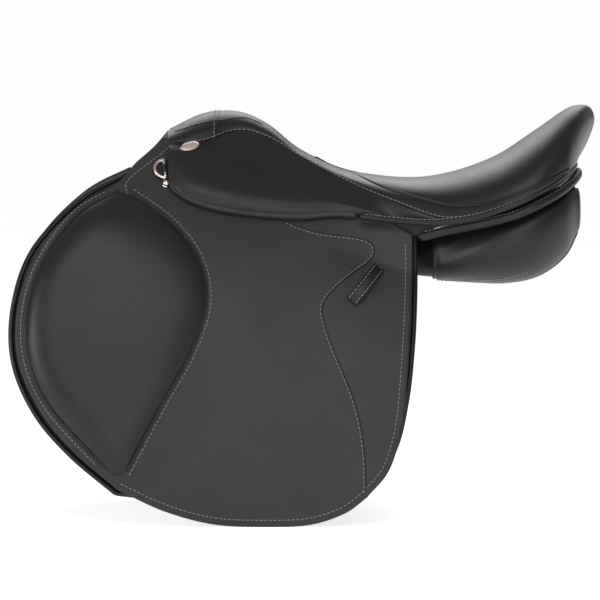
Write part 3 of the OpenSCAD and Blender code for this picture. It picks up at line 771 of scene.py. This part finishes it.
block("knee_block_pad", [[-318, 70], [-302, 66], [-285, 60]], [[-352, -110], [-337, -108], [-322, -104]],
      [[-318, 70], [-362, 20], [-378, -40], [-352, -110]],
      [[-285, 60], [-322, 14], [-338, -40], [-322, -104]])
block("thigh_block_pad", [[-34, -70], [-21, -69], [-8, -66]], [[-58, -180], [-47, -182], [-36, -180]],
      [[-34, -70], [-40, -130], [-58, -180]], [[-8, -66], [-14, -130], [-36, -180]])


# ---------------------------------------------------------------- seat

COVER_T = 2.6
BAND_END = 0.105
SEAM_A = [[-92, 146], [-77, 136], [-45, 121], [-12, 108], [20, 99], [53, 92], [85, 94], [130, 107],
          [160, 120],
          [182, 131]]
SEAM_POMMEL = [[-247, 168], [-215, 178], [-190, 182], [-170, 184], [-150, 176]]

half_across = blend_steps(150, 2.6)
seat_s, seat_q = np.meshgrid(blend_steps(640, 3.2), np.concatenate([-half_across[::-1], half_across[1:]]),
                             indexing="ij")
flat_s, flat_q = seat_s.ravel(), seat_q.ravel()
a_s, a_q = seat_find(smooth(SEAM_A, 2.0))


def seat_puff(s, q):
    """How far the padding swells the seat inside its long side seams."""
    at = seat_at(s, np.abs(q))
    line = seat_at(a_s, a_q)
    d = np.full(len(at), 1e9)
    for k in range(0, len(at), 3000):
        d[k:k + 3000] = np.linalg.norm(at[k:k + 3000, None] - line[None], axis=2).min(1)
    inside = np.abs(q) < np.interp(s, a_s, a_q, left=2, right=2)
    lift = np.where(inside, 2.2, 1.4) * (1 - np.exp(-d / 7))
    in_reach = ease((s - a_s.min()) / 0.03) * ease((a_s.max() - s) / 0.03)
    lift = in_reach * lift + (1 - in_reach) * 1.4
    band = 0.9 * (s < BAND_END) * ease((BAND_END - s) / 0.004)
    return lift * ease((1 - np.abs(q)) / 0.03) + band


seat_n = seat_normal(flat_s, flat_q)
seat_p = seat_at(flat_s, flat_q)
seat_top = seat_p + seat_n * seat_puff(flat_s, flat_q)[:, None]
shape = seat_s.shape + (3,)
seat_outer, seat_inner = seat_top.reshape(shape), (seat_p - seat_n * COVER_T).reshape(shape)
verts, faces = slab(seat_inner, seat_outer)
seat = make("seat_cover_leather", verts, faces, SEAT_LEATHER, "saddle", "smooth_leather")
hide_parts("seat_cover")

# The padding covers this stretch of the seat's length and this share of its width.
FOAM_FROM, FOAM_TO, FOAM_WIDE = 0.03, 0.79, 0.93
foam_s, foam_q = np.meshgrid(FOAM_FROM + (FOAM_TO - FOAM_FROM) * blend_steps(520, 8.0),
                             FOAM_WIDE * (2 * blend_steps(220, 8.0) - 1), indexing="ij")
foam_rim = np.minimum(np.minimum(foam_s - FOAM_FROM, FOAM_TO - foam_s) * 640,
                      (FOAM_WIDE - np.abs(foam_q)) * 95)
foam_p, foam_n = seat_at(foam_s.ravel(), foam_q.ravel()), seat_normal(foam_s.ravel(), foam_q.ravel())
foam_top = -9.6 + 5.2 * swell(foam_rim.ravel(), 9.0)
foam = make("seat_padding", *slab((foam_p - 14.8 * foam_n).reshape(foam_s.shape + (3,)),
                                  (foam_p + foam_top[:, None] * foam_n).reshape(foam_s.shape + (3,))),
            FOAM, "saddle", "lining_leather")
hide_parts("seat_foam")


def seat_line(s, q, lift=0.0):
    n = seat_normal(s, q)
    return seat_at(s, q) + n * (seat_puff(s, q) + lift)[:, None], n


def seat_row(s, q, lift=0.0):
    p, n = seat_line(s, q, lift)
    return stitches(p, n)


def seat_cord(s, q, radius, lift=0.0):
    p, n = seat_line(s, q, lift)
    line = evenly(np.concatenate([p, n], 1), 2.5)
    return tube(cord(line[:, :3], radius, 8, 4.0, 0.8, line[:, 3:]))


both("seat_welt", seat_cord(a_s, a_q, 1.7, 0.3), EDGE_LEATHER, "saddle", "smooth_leather")
p_s, p_q = seat_find(smooth(SEAM_POMMEL, 2.0))
both("pommel_seam", seat_cord(p_s, p_q, 0.8, 0.0), EDGE_LEATHER, "saddle", "smooth_leather")
edge_s = np.linspace(0.06, 0.53, 160)
both("seat_edge_stitching", seat_row(edge_s, np.full(160, 0.962)), THREAD_MAT, "saddle", "webbing")
both("seat_edge_cord", seat_cord(np.linspace(0.02, 0.53, 160), np.full(160, 0.996), 0.8, 0.0), EDGE_LEATHER,
     "saddle", "smooth_leather")
band_q = np.linspace(-0.97, 0.97, 90)
make("pommel_band_edge", *seat_cord(np.full(90, BAND_END), band_q, 1.0, 0.1), EDGE_LEATHER,
     "saddle", "smooth_leather")
make("pommel_band_stitching", *seat_row(np.full(90, BAND_END - 0.008), band_q), THREAD_MAT, "saddle",
     "webbing")

FACING_W, FACING_T = 37, 5


def facing_pt(q, t, out=0.0):
    """Points on the wall that closes the pommel's front: t runs from its top to its bottom."""
    p = seat_at(0 * q.ravel(), q.ravel()).reshape(q.shape + (3,))
    return np.stack([p[..., 0] - 0.6 - out, p[..., 1] * (1 + 0.2 * t), p[..., 2] - FACING_W * t], -1)


facing_q, facing_t = np.meshgrid(np.linspace(-1, 1, 73), np.linspace(0, 1, 15))
facing_rim = np.minimum(np.minimum(facing_t, 1 - facing_t) * FACING_W, (1 - np.abs(facing_q)) * 90)
facing_out = FACING_T - 2.2 * (1 - swell(facing_rim, 3.5))
facing = make("pommel_front",
              *slab(facing_pt(facing_q, facing_t), facing_pt(facing_q, facing_t, facing_out)),
              EDGE_LEATHER, "saddle", "smooth_leather")
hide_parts("pommel_facing")
facing_rows = []
for row_t in (0.13, 0.87):
    q = np.linspace(-0.95, 0.95, 121)
    facing_rows.append(stitches(facing_pt(q, row_t + 0 * q, FACING_T), np.tile([-1.0, 0, 0], (len(q), 1))))
make("pommel_stitching", *join(facing_rows), THREAD_MAT, "saddle", "webbing")


# ---------------------------------------------------------------- cantle welt and skirt-edge roll

WELT = [
    [18, -110, 57], [30, -111, 60], [50, -114, 65], [80, -122, 71], [106, -127, 77], [126, -126.5, 83],
    [144, -123, 91], [160, -113.5, 99], [172, -103, 106], [186, -78, 116], [193, -44, 122], [195, 0, 124]
]
ROLL = [
    [-46, -105, 80], [-20, -108, 77], [8, -112, 74.5], [30, -116, 73.5], [50, -120, 75], [80, -128, 80],
    [106, -132, 88], [128, -131, 96.5], [146, -125, 105.5], [160, -115, 113], [171, -103.5, 120],
    [180, -88, 126], [186, -70, 130], [190, -40, 133], [191.5, 0, 134]
]


def round_the_back(line, step):
    half = smooth(line, step)
    return np.concatenate([half, mirrored(half[-2::-1])])


def cord_normals(path):
    """Outward directions of a cord that lies round the saddle's side and back."""
    flat = unit(np.gradient(path, axis=0))
    out = np.stack([-flat[:, 1], flat[:, 0], 0 * flat[:, 0]], 1)
    centre = path - [20, 0, 60]
    return unit(out * np.sign((out * centre).sum(1))[:, None])


WELT_R, ROLL_R = 5.0, 3.6
welt_path = round_the_back(WELT, 3)
welt = make("cantle_cord", *tube(cord(welt_path, WELT_R, 14, 6.0, 1.0, cord_normals(welt_path))),
            EDGE_LEATHER,
            "saddle", "smooth_leather")
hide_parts("cantle_welt")
roll_path = round_the_back(ROLL, 3)
make("skirt_roll_rear", *tube(cord(roll_path, ROLL_R, 12, 2.0, 1.0, cord_normals(roll_path))),
     EDGE_LEATHER, "saddle", "smooth_leather")


def cord_row(name, path, radius, turn):
    """A stitch row on a cord's face, turned up or down from its outward side."""
    n = cord_normals(path)
    n = unit(n * math.cos(turn) + np.array([0, 0, 1.0]) * math.sin(turn))
    keep = slice(3, -3)
    return make(name, *stitches(path[keep] + n[keep] * radius, n[keep]), THREAD_MAT, "saddle", "webbing")


cord_row("roll_stitching", roll_path, ROLL_R, math.radians(62))
cord_row("welt_stitching", welt_path, WELT_R, math.radians(66))


# ---------------------------------------------------------------- skirts

SKIRT_TOP = [[p[0], p[2] - 0.6] for p in EDGE[:7]] + [[26, 83], [42, 77]]
SKIRT_LOW = [
    [-250, 113], [-232, 99.5], [-197, 89], [-152, 82.5], [-110, 80], [-75, 82.5], [-46, 81], [-18, 78],
    [4, 75],
    [24, 73.5], [42, 73]
]
SKIRT_FRONT_EDGE = [[-252, 157.4], [-253.5, 132], [-250, 112]]
SKIRT_END = [[42, 77], [42, 73]]
SKIRT_T, SKIRT_LEAN, SKIRT_TUCK = 3.6, 0.24, 1.25
REAR_END = -46

skirt_xz = patch(SKIRT_TOP, SKIRT_LOW, SKIRT_FRONT_EDGE, SKIRT_END, blend_steps(330, 3.4),
                 blend_steps(75, 2.6))


def bowed(t, a, b, slope_a, slope_b):
    """A smooth rise from a to b with the given end slopes."""
    return ((2 * t ** 3 - 3 * t ** 2 + 1) * a + (t ** 3 - 2 * t ** 2 + t) * slope_a
            + (3 * t ** 2 - 2 * t ** 3) * b + (t ** 3 - t ** 2) * slope_b)


def skirt_offsets(xz):
    x, z = xz[..., 0], xz[..., 1]
    top = np.interp(x, *np.array(smooth(SKIRT_TOP, 1.5)).T)
    low_line = smooth(SKIRT_LOW, 1.5)
    low = np.interp(x, low_line[:, 0], low_line[:, 1])
    line = np.minimum(skirt_z(x), top - 0.5)
    high, deep = np.maximum(top - line, 0.5), np.maximum(line - low, 4)
    above, below = np.clip((top - z) / high, 0, 1), np.clip((line - z) / deep, 0, 1)
    at_line = np.where(x < REAR_END, skirt_out(x),
                       skirt_out(np.array(REAR_END)) * (1 - ease((x - REAR_END) / 60)))
    share = np.clip((x + 251) / 205, 0, 1.3)
    lengthwise = np.where(share < 0.5, np.sin(math.pi * np.clip(share, 0, 0.5)) ** 0.5,
                          1 - ease((share - 0.7) / 0.6))
    upper = bowed(above, 2, at_line, high * 0.30, high * SKIRT_LEAN)
    lower = bowed(below, at_line, 6, deep * SKIRT_LEAN, -deep * SKIRT_TUCK * lengthwise)
    return np.where(z >= line, upper, lower)


skirt_mid = skirt_offsets(skirt_xz)
skirt_edge = distance(skirt_xz, np.concatenate([smooth(SKIRT_FRONT_EDGE), smooth(SKIRT_LOW)[1:]]))
skirt_top, skirt_under = rounded(skirt_edge, 1.8, skirt_mid, skirt_mid - SKIRT_T)
skirts = both("skirt_leather", slab(on_side(skirt_xz, skirt_under), on_side(skirt_xz, skirt_top)),
              SEAT_LEATHER,
              None, "smooth_leather", replaces=("{}_skirt", "{}_seat_side"))
SKIRT_SLOPE = math.atan((SKIRT_FRONT[2] - SKIRT_REAR[2]) / (SKIRT_REAR[0] - SKIRT_FRONT[0]))


def split_at_line(obj, side):
    """Leaves the strip behind the skirt on the saddle: only what is before it lifts."""
    w = obj.data.attributes["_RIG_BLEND"]
    x = np.array([v.co.x for v in obj.data.vertices]) / MM
    values = np.zeros(len(x), np.float32)
    w.data.foreach_get("value", values)
    values *= (1 - ease((x - REAR_END + 14) / 26)).astype(np.float32)
    w.data.foreach_set("value", values)


for skirt_side, skirt in skirts.items():
    bend_blend(skirt, skirt_side, "skirt", (-150, 0, skirt_z(-150)), SKIRT_SLOPE, 5, 8)
    split_at_line(skirt, skirt_side)

skirt_bead_line = np.concatenate([smooth([[-251, 152], [-251.4, 140], [-251.4, 126], [-250, 112.5],
                                          [-243, 105.5]]),
                                  smooth(SKIRT_LOW)[4:]])
skirt_bead_line = evenly(skirt_bead_line[skirt_bead_line[:, 0] < REAR_END - 1], 2.5)


def skirt_cord(line, radius, lift):
    out = skirt_offsets(line) + lift
    return tube(cord(on_side(line, out), radius, 12, 2.0, 1.0, side_normal(line)))


bead_r = 1.3 + 2.8 * ease((np.arange(len(skirt_bead_line)) - 13) / 24)
# The bead's lighter leather is a painted highlight along the skirt's rolled edge.
both("skirt_bead", skirt_cord(skirt_bead_line, bead_r, -1.6), BEAD_LEATHER_PAINTED_HIGHLIGHT, "{}_skirt", "smooth_leather")


# ---------------------------------------------------------------- panels and gussets

PANEL_ROWS = [
    [-284, 66, 98, 92, 66, 117, 6, 11], [-245, 56, 98, 88, 60, 119, -12, 13],
    [-200, 48, 100, 84, 56, 121, -26, 13], [-150, 42, 92, 80, 50, 119, -28, 13],
    [-100, 37, 80, 76, 44, 108, -18, 13], [-50, 36, 60, 64, 40, 86, 0, 14],
    [0, 36, 45, 54, 35, 66, 20, 16], [40, 36, 38, 65, 33, 85, 35, 23],
    [80, 37, 36, 78, 30, 104, 50, 27], [115, 38, 36, 84, 30, 109, 63, 30],
    [150, 39, 42, 78, 38, 102, 78, 31], [178, 40, 56, 64, 54, 84, 92, 27],
    [193, 41, 72, 50, 74, 60, 99, 19]
]
GUSSET_FROM, GUSSET_TO = 0.575, 1.0


def panel_pt(row, degrees, grow=0.0):
    """Points round the panel's section at each station."""
    row = np.asarray(row, float)
    a = np.radians(np.asarray(degrees, float))
    t = ((1 - np.cos(a)) / 2)[..., None]
    i, c, o = row[..., 1:3], row[..., 3:5], row[..., 5:7]
    mid = (1 - t) ** 2 * i + 2 * t * (1 - t) * c + t * t * o
    along = unit((1 - t) * (c - i) + t * (o - c))
    h = (row[..., 7] + grow) * np.sign(np.sin(a)) * np.abs(np.sin(a)) ** 0.7
    cross = np.stack([-along[..., 1], along[..., 0]], -1)
    p = mid + h[..., None] * cross - ((row[..., 7] * 0.3 + grow) * np.cos(a))[..., None] * along
    return np.stack([row[..., 0], -p[..., 0], p[..., 1]], -1)


panel_s = blend_steps(480, 4.5, (0, 1.5, 4, 8))
panel_a = np.linspace(0, 360, 49)[:-1]
rows = curve_at(PANEL_ROWS, panel_s)
panel_grid = panel_pt(rows[:, None, :].repeat(len(panel_a), 1), np.tile(panel_a, (len(rows), 1)))
rear_middle = panel_grid[-1].mean(0)


def closed_rear(grid, depth):
    """Rounds off the rear end of a padded tube with shrinking rings."""
    last = grid[-1]
    extra = [rear_middle + (last - rear_middle) * math.cos(t) + [depth * math.sin(t), 0, 0]
             for t in np.radians([20, 38, 54, 68, 80, 86])]
    return np.concatenate([grid, extra])


panel_grid = closed_rear(panel_grid, 1.6)
both("panel_leather", tube(panel_grid[:, ::-1]), PANEL_LEATHER, "saddle", "lining_leather",
     replaces=("{}_panel",))

# The gusset's leather lies round this turn of the section, on a grid of stations by turns.
GUSSET_TURN, STATIONS, TURNS = (104, 286), 60, 36
gusset_rows = curve_at(PANEL_ROWS, np.linspace(GUSSET_FROM, GUSSET_TO, STATIONS))
gusset_rr = gusset_rows[:, None, :].repeat(TURNS, 1)
gusset_aa = np.tile(np.linspace(*GUSSET_TURN, TURNS), (STATIONS, 1))
turn = np.arange(TURNS)
edge_in = np.minimum(np.arange(STATIONS)[:, None] * 2.8, np.minimum(turn, TURNS - 1 - turn)[None] * 3.2)
gusset_out = 1.0 + 2.0 * swell(edge_in.astype(float), 9.0)
both("gusset_leather", slab(closed_rear(panel_pt(gusset_rr, gusset_aa, gusset_out), 3.6),
                            closed_rear(panel_pt(gusset_rr, gusset_aa, 0.5 + 0 * gusset_out), 2.2)),
     PANEL_LEATHER, "saddle", "lining_leather", replaces=("{}_gusset",))


def panel_line(s0, s1, a, lift, count=90):
    s = np.linspace(s0, s1, count)
    r = curve_at(PANEL_ROWS, s)
    p = panel_pt(r, np.full(count, float(a)), lift)
    return p, unit(panel_pt(r, np.full(count, float(a)), lift + 2) - p)


seam_parts, row_parts = [], []
for angle in GUSSET_TURN:
    p, n = panel_line(GUSSET_FROM, GUSSET_TO, angle, 0.8)
    seam_parts.append(tube(cord(p, 1.4, 8, 3, 1.0, n)))
p, n = panel_line(GUSSET_FROM + 0.01, 0.80, 262, 3.0)
row_parts.append(stitches(p, n))
front_row, front_turn = gusset_rows[:1].repeat(60, 0), np.linspace(*GUSSET_TURN, 60)
p = panel_pt(front_row, front_turn, 0.6)
n = unit(panel_pt(front_row, front_turn, 2.6) - p)
seam_parts.append(tube(cord(p, 1.6, 8, 3, 1.0, n)))
for angle in (62, 318):
    p, n = panel_line(0.04, 0.96, angle, 0.0, 160)
    seam_parts.append(tube(cord(p, 1.1, 8, 3, 1.0, n)))
# Leather between the seat's side and the panel, behind the welt.
wall = spline([[-30, -92, 60, 80], [-4, -95, 58, 78], [16, -98, 57, 76], [36, -102, 60, 75]], 24)
wall_z = np.linspace(0, 1, 6)[:, None] * (wall[:, 3] - wall[:, 2])[None] + wall[:, 2][None]
wall_at = np.stack([np.tile(wall[:, 0], (6, 1)), np.tile(wall[:, 1], (6, 1)), wall_z], -1)[::-1]
both("side_lining", slab(wall_at + [0, 2.0, 0], wall_at), PANEL_LEATHER, "saddle", "lining_leather")
both("panel_seams", join(seam_parts), EDGE_LEATHER, "saddle", "lining_leather")
both("panel_stitching", join(row_parts), THREAD_MAT, "saddle", "webbing")


# ---------------------------------------------------------------- keepers

KEEPER_AT, KEEPER_RUN, KEEPER_W, KEEPER_GAP = [-24, 26], [-30, -36], 13, 7.5
across = KEEPER_W * unit(np.array([36.0, -30.0]))
keeper_u = np.linspace(0, 1, 37)
keeper_w = np.array([-0.5, -0.47, -0.4, -0.3, -0.15, 0, 0.15, 0.3, 0.4, 0.47, 0.5])
keeper_xz = (np.array(KEEPER_AT)[None, None] + keeper_u[:, None, None] * np.array(KEEPER_RUN)[None, None]
             + keeper_w[None, :, None] * across[None, None])
keeper_lift = 0.6 + KEEPER_GAP * np.sin(math.pi * keeper_u) ** 0.5
crown = 1 - (2 * np.abs(keeper_w)) ** 4
keeper_top = keeper_lift[:, None] + 1.2 + 1.6 * crown[None]
keeper_low = keeper_lift[:, None] + 0.6 - 0.6 * crown[None]
both("keeper_strap", slab(on_side(keeper_xz, keeper_low), on_side(keeper_xz, keeper_top)), EDGE_LEATHER,
     "{}_flap", "strap_leather", replaces=("{}_keeper",))
keeper_rows = []
for w in (-0.36, 0.36):
    line = np.array(KEEPER_AT) + keeper_u[2:-2, None] * np.array(KEEPER_RUN) + w * across
    keeper_rows.append(stitches(on_side(line, keeper_lift[2:-2] + 2.7), side_normal(line)))
both("keeper_stitching", join(keeper_rows), THREAD_MAT, "{}_flap", "webbing")


# ---------------------------------------------------------------- girth straps

STRAP_X, STRAP_PITCH, STRAP_W, STRAP_T = -120, 40, 28, 3.2
STRAP_TOP, STRAP_END, STRAP_MID, STRAP_LOW = 8, -205, -17, -15
STRAP_YAW = math.radians(-4.4)


def strap_pt(x, z):
    """The middle line of a girth strap hanging at x: straight at its lower end."""
    depth = STRAP_MID + (STRAP_LOW - STRAP_MID) * (STRAP_TOP - z) / (STRAP_TOP - STRAP_END)
    return -side_w(x, z, depth)


def strap_rows(x):
    heights = np.array([STRAP_TOP, -15, -38, -61, -85, STRAP_END], float)
    line = np.stack([strap_pt(x, heights), heights], 1)
    p = evenly(line, 2.0)[3:-3]
    t = unit(np.gradient(p, axis=0))
    out = np.stack([t[:, 1], -t[:, 0]], 1)
    pivot = line[2][0]
    c, s = math.cos(STRAP_YAW), math.sin(STRAP_YAW)
    rows = []
    for dx in (3 - STRAP_W / 2, STRAP_W / 2 - 3):
        face = p + out * STRAP_T / 2
        y = face[:, 0] - pivot
        at = np.stack([x + dx * c - y * s, pivot + dx * s + y * c, face[:, 1]], 1)
        normal = np.stack([-out[:, 0] * s, out[:, 0] * c, out[:, 1]], 1)
        rows.append(stitches(at, normal))
    return join(rows)


for strap_name, step in (("front", -1), ("middle", 0), ("rear", 1)):
    both(f"{strap_name}_strap_stitching", strap_rows(STRAP_X + step * STRAP_PITCH), THREAD_MAT,
         "{}_" + strap_name + "_billet", "webbing")


# ---------------------------------------------------------------- badges, rings and studs

def lathe(profile, at, out, sides=32):
    """A turned piece standing on the side: profile is (radius, height) pairs."""
    ex, ey, n = side_axes(at)
    base = on_side(np.array([at]), out)[0]
    a = np.linspace(0, 2 * math.pi, sides, endpoint=False)
    return tube([[base + r * (math.cos(t) * ex + math.sin(t) * ey) + h * n for t in a] for r, h in profile])


def oval(at, out, tilt, profile, sides=64):
    """As lathe, but an oval: profile is (share of the half axes, height)."""
    ex, ey, n = side_axes(at)
    c, s = math.cos(tilt), math.sin(tilt)
    ex, ey = c * ex + s * ey, c * ey - s * ex
    base = on_side(np.array([at]), out)[0]
    a = np.linspace(0, 2 * math.pi, sides, endpoint=False)
    return tube([[base + (BADGE_L / 2 - r) * math.cos(t) * ex + (BADGE_H / 2 - r) * math.sin(t) * ey + h * n
                  for t in a] for r, h in profile])


BADGE_AT, BADGE_OUT, BADGE_L, BADGE_H, BADGE_TILT = [-230, 155], 8.5, 22, 10.5, math.radians(16)
rim = [(0.35, 0), (0, 0.4), (0, 1.2), (0.35, 1.7), (0.9, 1.85), (1.35, 1.6), (1.5, 1.1)]
face = [(1.3, 0.5), (1.3, 1.15), (2.0, 1.3), (3.0, 1.4), (4.2, 1.45)]
both("badge_rim", oval(BADGE_AT, BADGE_OUT, BADGE_TILT, rim), ROSE, "saddle", "badge_metal",
     replaces=("{}_badge",))
both("badge_plate", oval(BADGE_AT, BADGE_OUT, BADGE_TILT, face), BADGE_FACE, "saddle", "badge_metal")

RING_AT, RING_OUT, RING_R, WIRE_R = [-257, 131], 3.1, 9, 1.9
ex, ey, n = side_axes(RING_AT)
ring_base = on_side(np.array([RING_AT]), RING_OUT)[0]
half = np.linspace(-math.pi / 2, math.pi / 2, 40)
bow = [ring_base - (RING_R + WIRE_R) * math.cos(t) * ex + (RING_R + WIRE_R) * math.sin(t) * ey for t in half]
bar = [ring_base + y * ey for y in np.linspace(RING_R + WIRE_R - 1, -RING_R - WIRE_R + 1, 14)]
ring_path = np.array(bow + bar)
both("dee_ring", tube(cord(ring_path, WIRE_R, 14, 0, 1.0, np.tile(n, (len(ring_path), 1))), closed=True),
     ROSE,
     "{}_ring", "nickel", replaces=("{}_ring",))
STUD_AT = [-256, 114]
stud = [(3.4, -0.6), (3.6, 0.2), (2.6, 0.9), (1.7, 1.3), (2.0, 1.8), (3.1, 2.6), (3.6, 3.9), (3.4, 5.2),
        (2.6, 6.3), (1.4, 6.9), (0.3, 7.05)]
studs = both("stud", lathe(stud, STUD_AT, 0.4), NICKEL, "saddle", "nickel")
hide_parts("ring_screws")


# ---------------------------------------------------------------- camera, floor and light

def area_light(name, at, aim, size, power):
    light = bpy.data.lights.new(name, "AREA")
    light.size = size
    light.energy = power
    obj = add_object(name, light)
    obj.location = at
    obj.rotation_euler = (Vector(aim) - Vector(at)).to_track_quat("-Z", "Y").to_euler()


FLOOR_Z = -250 * MM
TARGET = Vector((-0.110, 0, -0.0165))
CAMERA_FAR, CAMERA_UP, FRAME_W = 8.0, math.radians(3.0), 0.66

floor_mesh = bpy.data.meshes.new("floor")
floor_mesh.from_pydata([(-80, -80, FLOOR_Z), (80, -80, FLOOR_Z), (80, 80, FLOOR_Z), (-80, 80, FLOOR_Z)], [],
                       [(0, 1, 2, 3)])
floor = add_object("floor", floor_mesh)
floor_mat, floor_tree, floor_bsdf = nodes_of("floor_paint")
floor_coords = coords_of(floor_tree)
floor_tree.links.new(ramp(floor_tree, noise(floor_tree, floor_coords, 3, 2),
                          [(0.3, grey(0.8)), (0.7, grey(0.82))]),
                     floor_bsdf.inputs["Base Color"])
put(floor_bsdf, Roughness=0.9, Specular_IOR_Level=0.0, Emission_Color=(1, 1, 1, 1), Emission_Strength=0.74)
floor_mesh.materials.append(floor_mat)

camera_data = bpy.data.cameras.new("camera")
camera_data.sensor_width = 36
camera_data.lens = 36 * CAMERA_FAR / FRAME_W
camera_data.clip_end = 500
camera = add_object("camera", camera_data)
away = Vector((0, -math.cos(CAMERA_UP), math.sin(CAMERA_UP)))
camera.location = TARGET + away * CAMERA_FAR
camera.rotation_euler = (-away).to_track_quat("-Z", "Y").to_euler()
bpy.context.scene.camera = camera

world = bpy.data.worlds.new("studio")
bpy.context.scene.world = world
world.use_nodes = True
put(world.node_tree.nodes["Background"], Color=(1, 1, 1, 1), Strength=0.30)
bpy.context.scene.view_settings.view_transform = "Standard"

area_light("key", (-3.0, -2.0, 0.7), (-0.15, 0, 0.0), 1.0, 46)
area_light("fill", (0.1, -2.6, 1.9), (-0.1, 0, 0.0), 2.0, 34)
area_light("top", (-0.1, 2.0, 1.6), (0.0, 0, 0.12), 1.7, 21)
area_light("low", (0.35, -2.3, 0.1), (0.08, 0, 0.05), 0.35, 6)
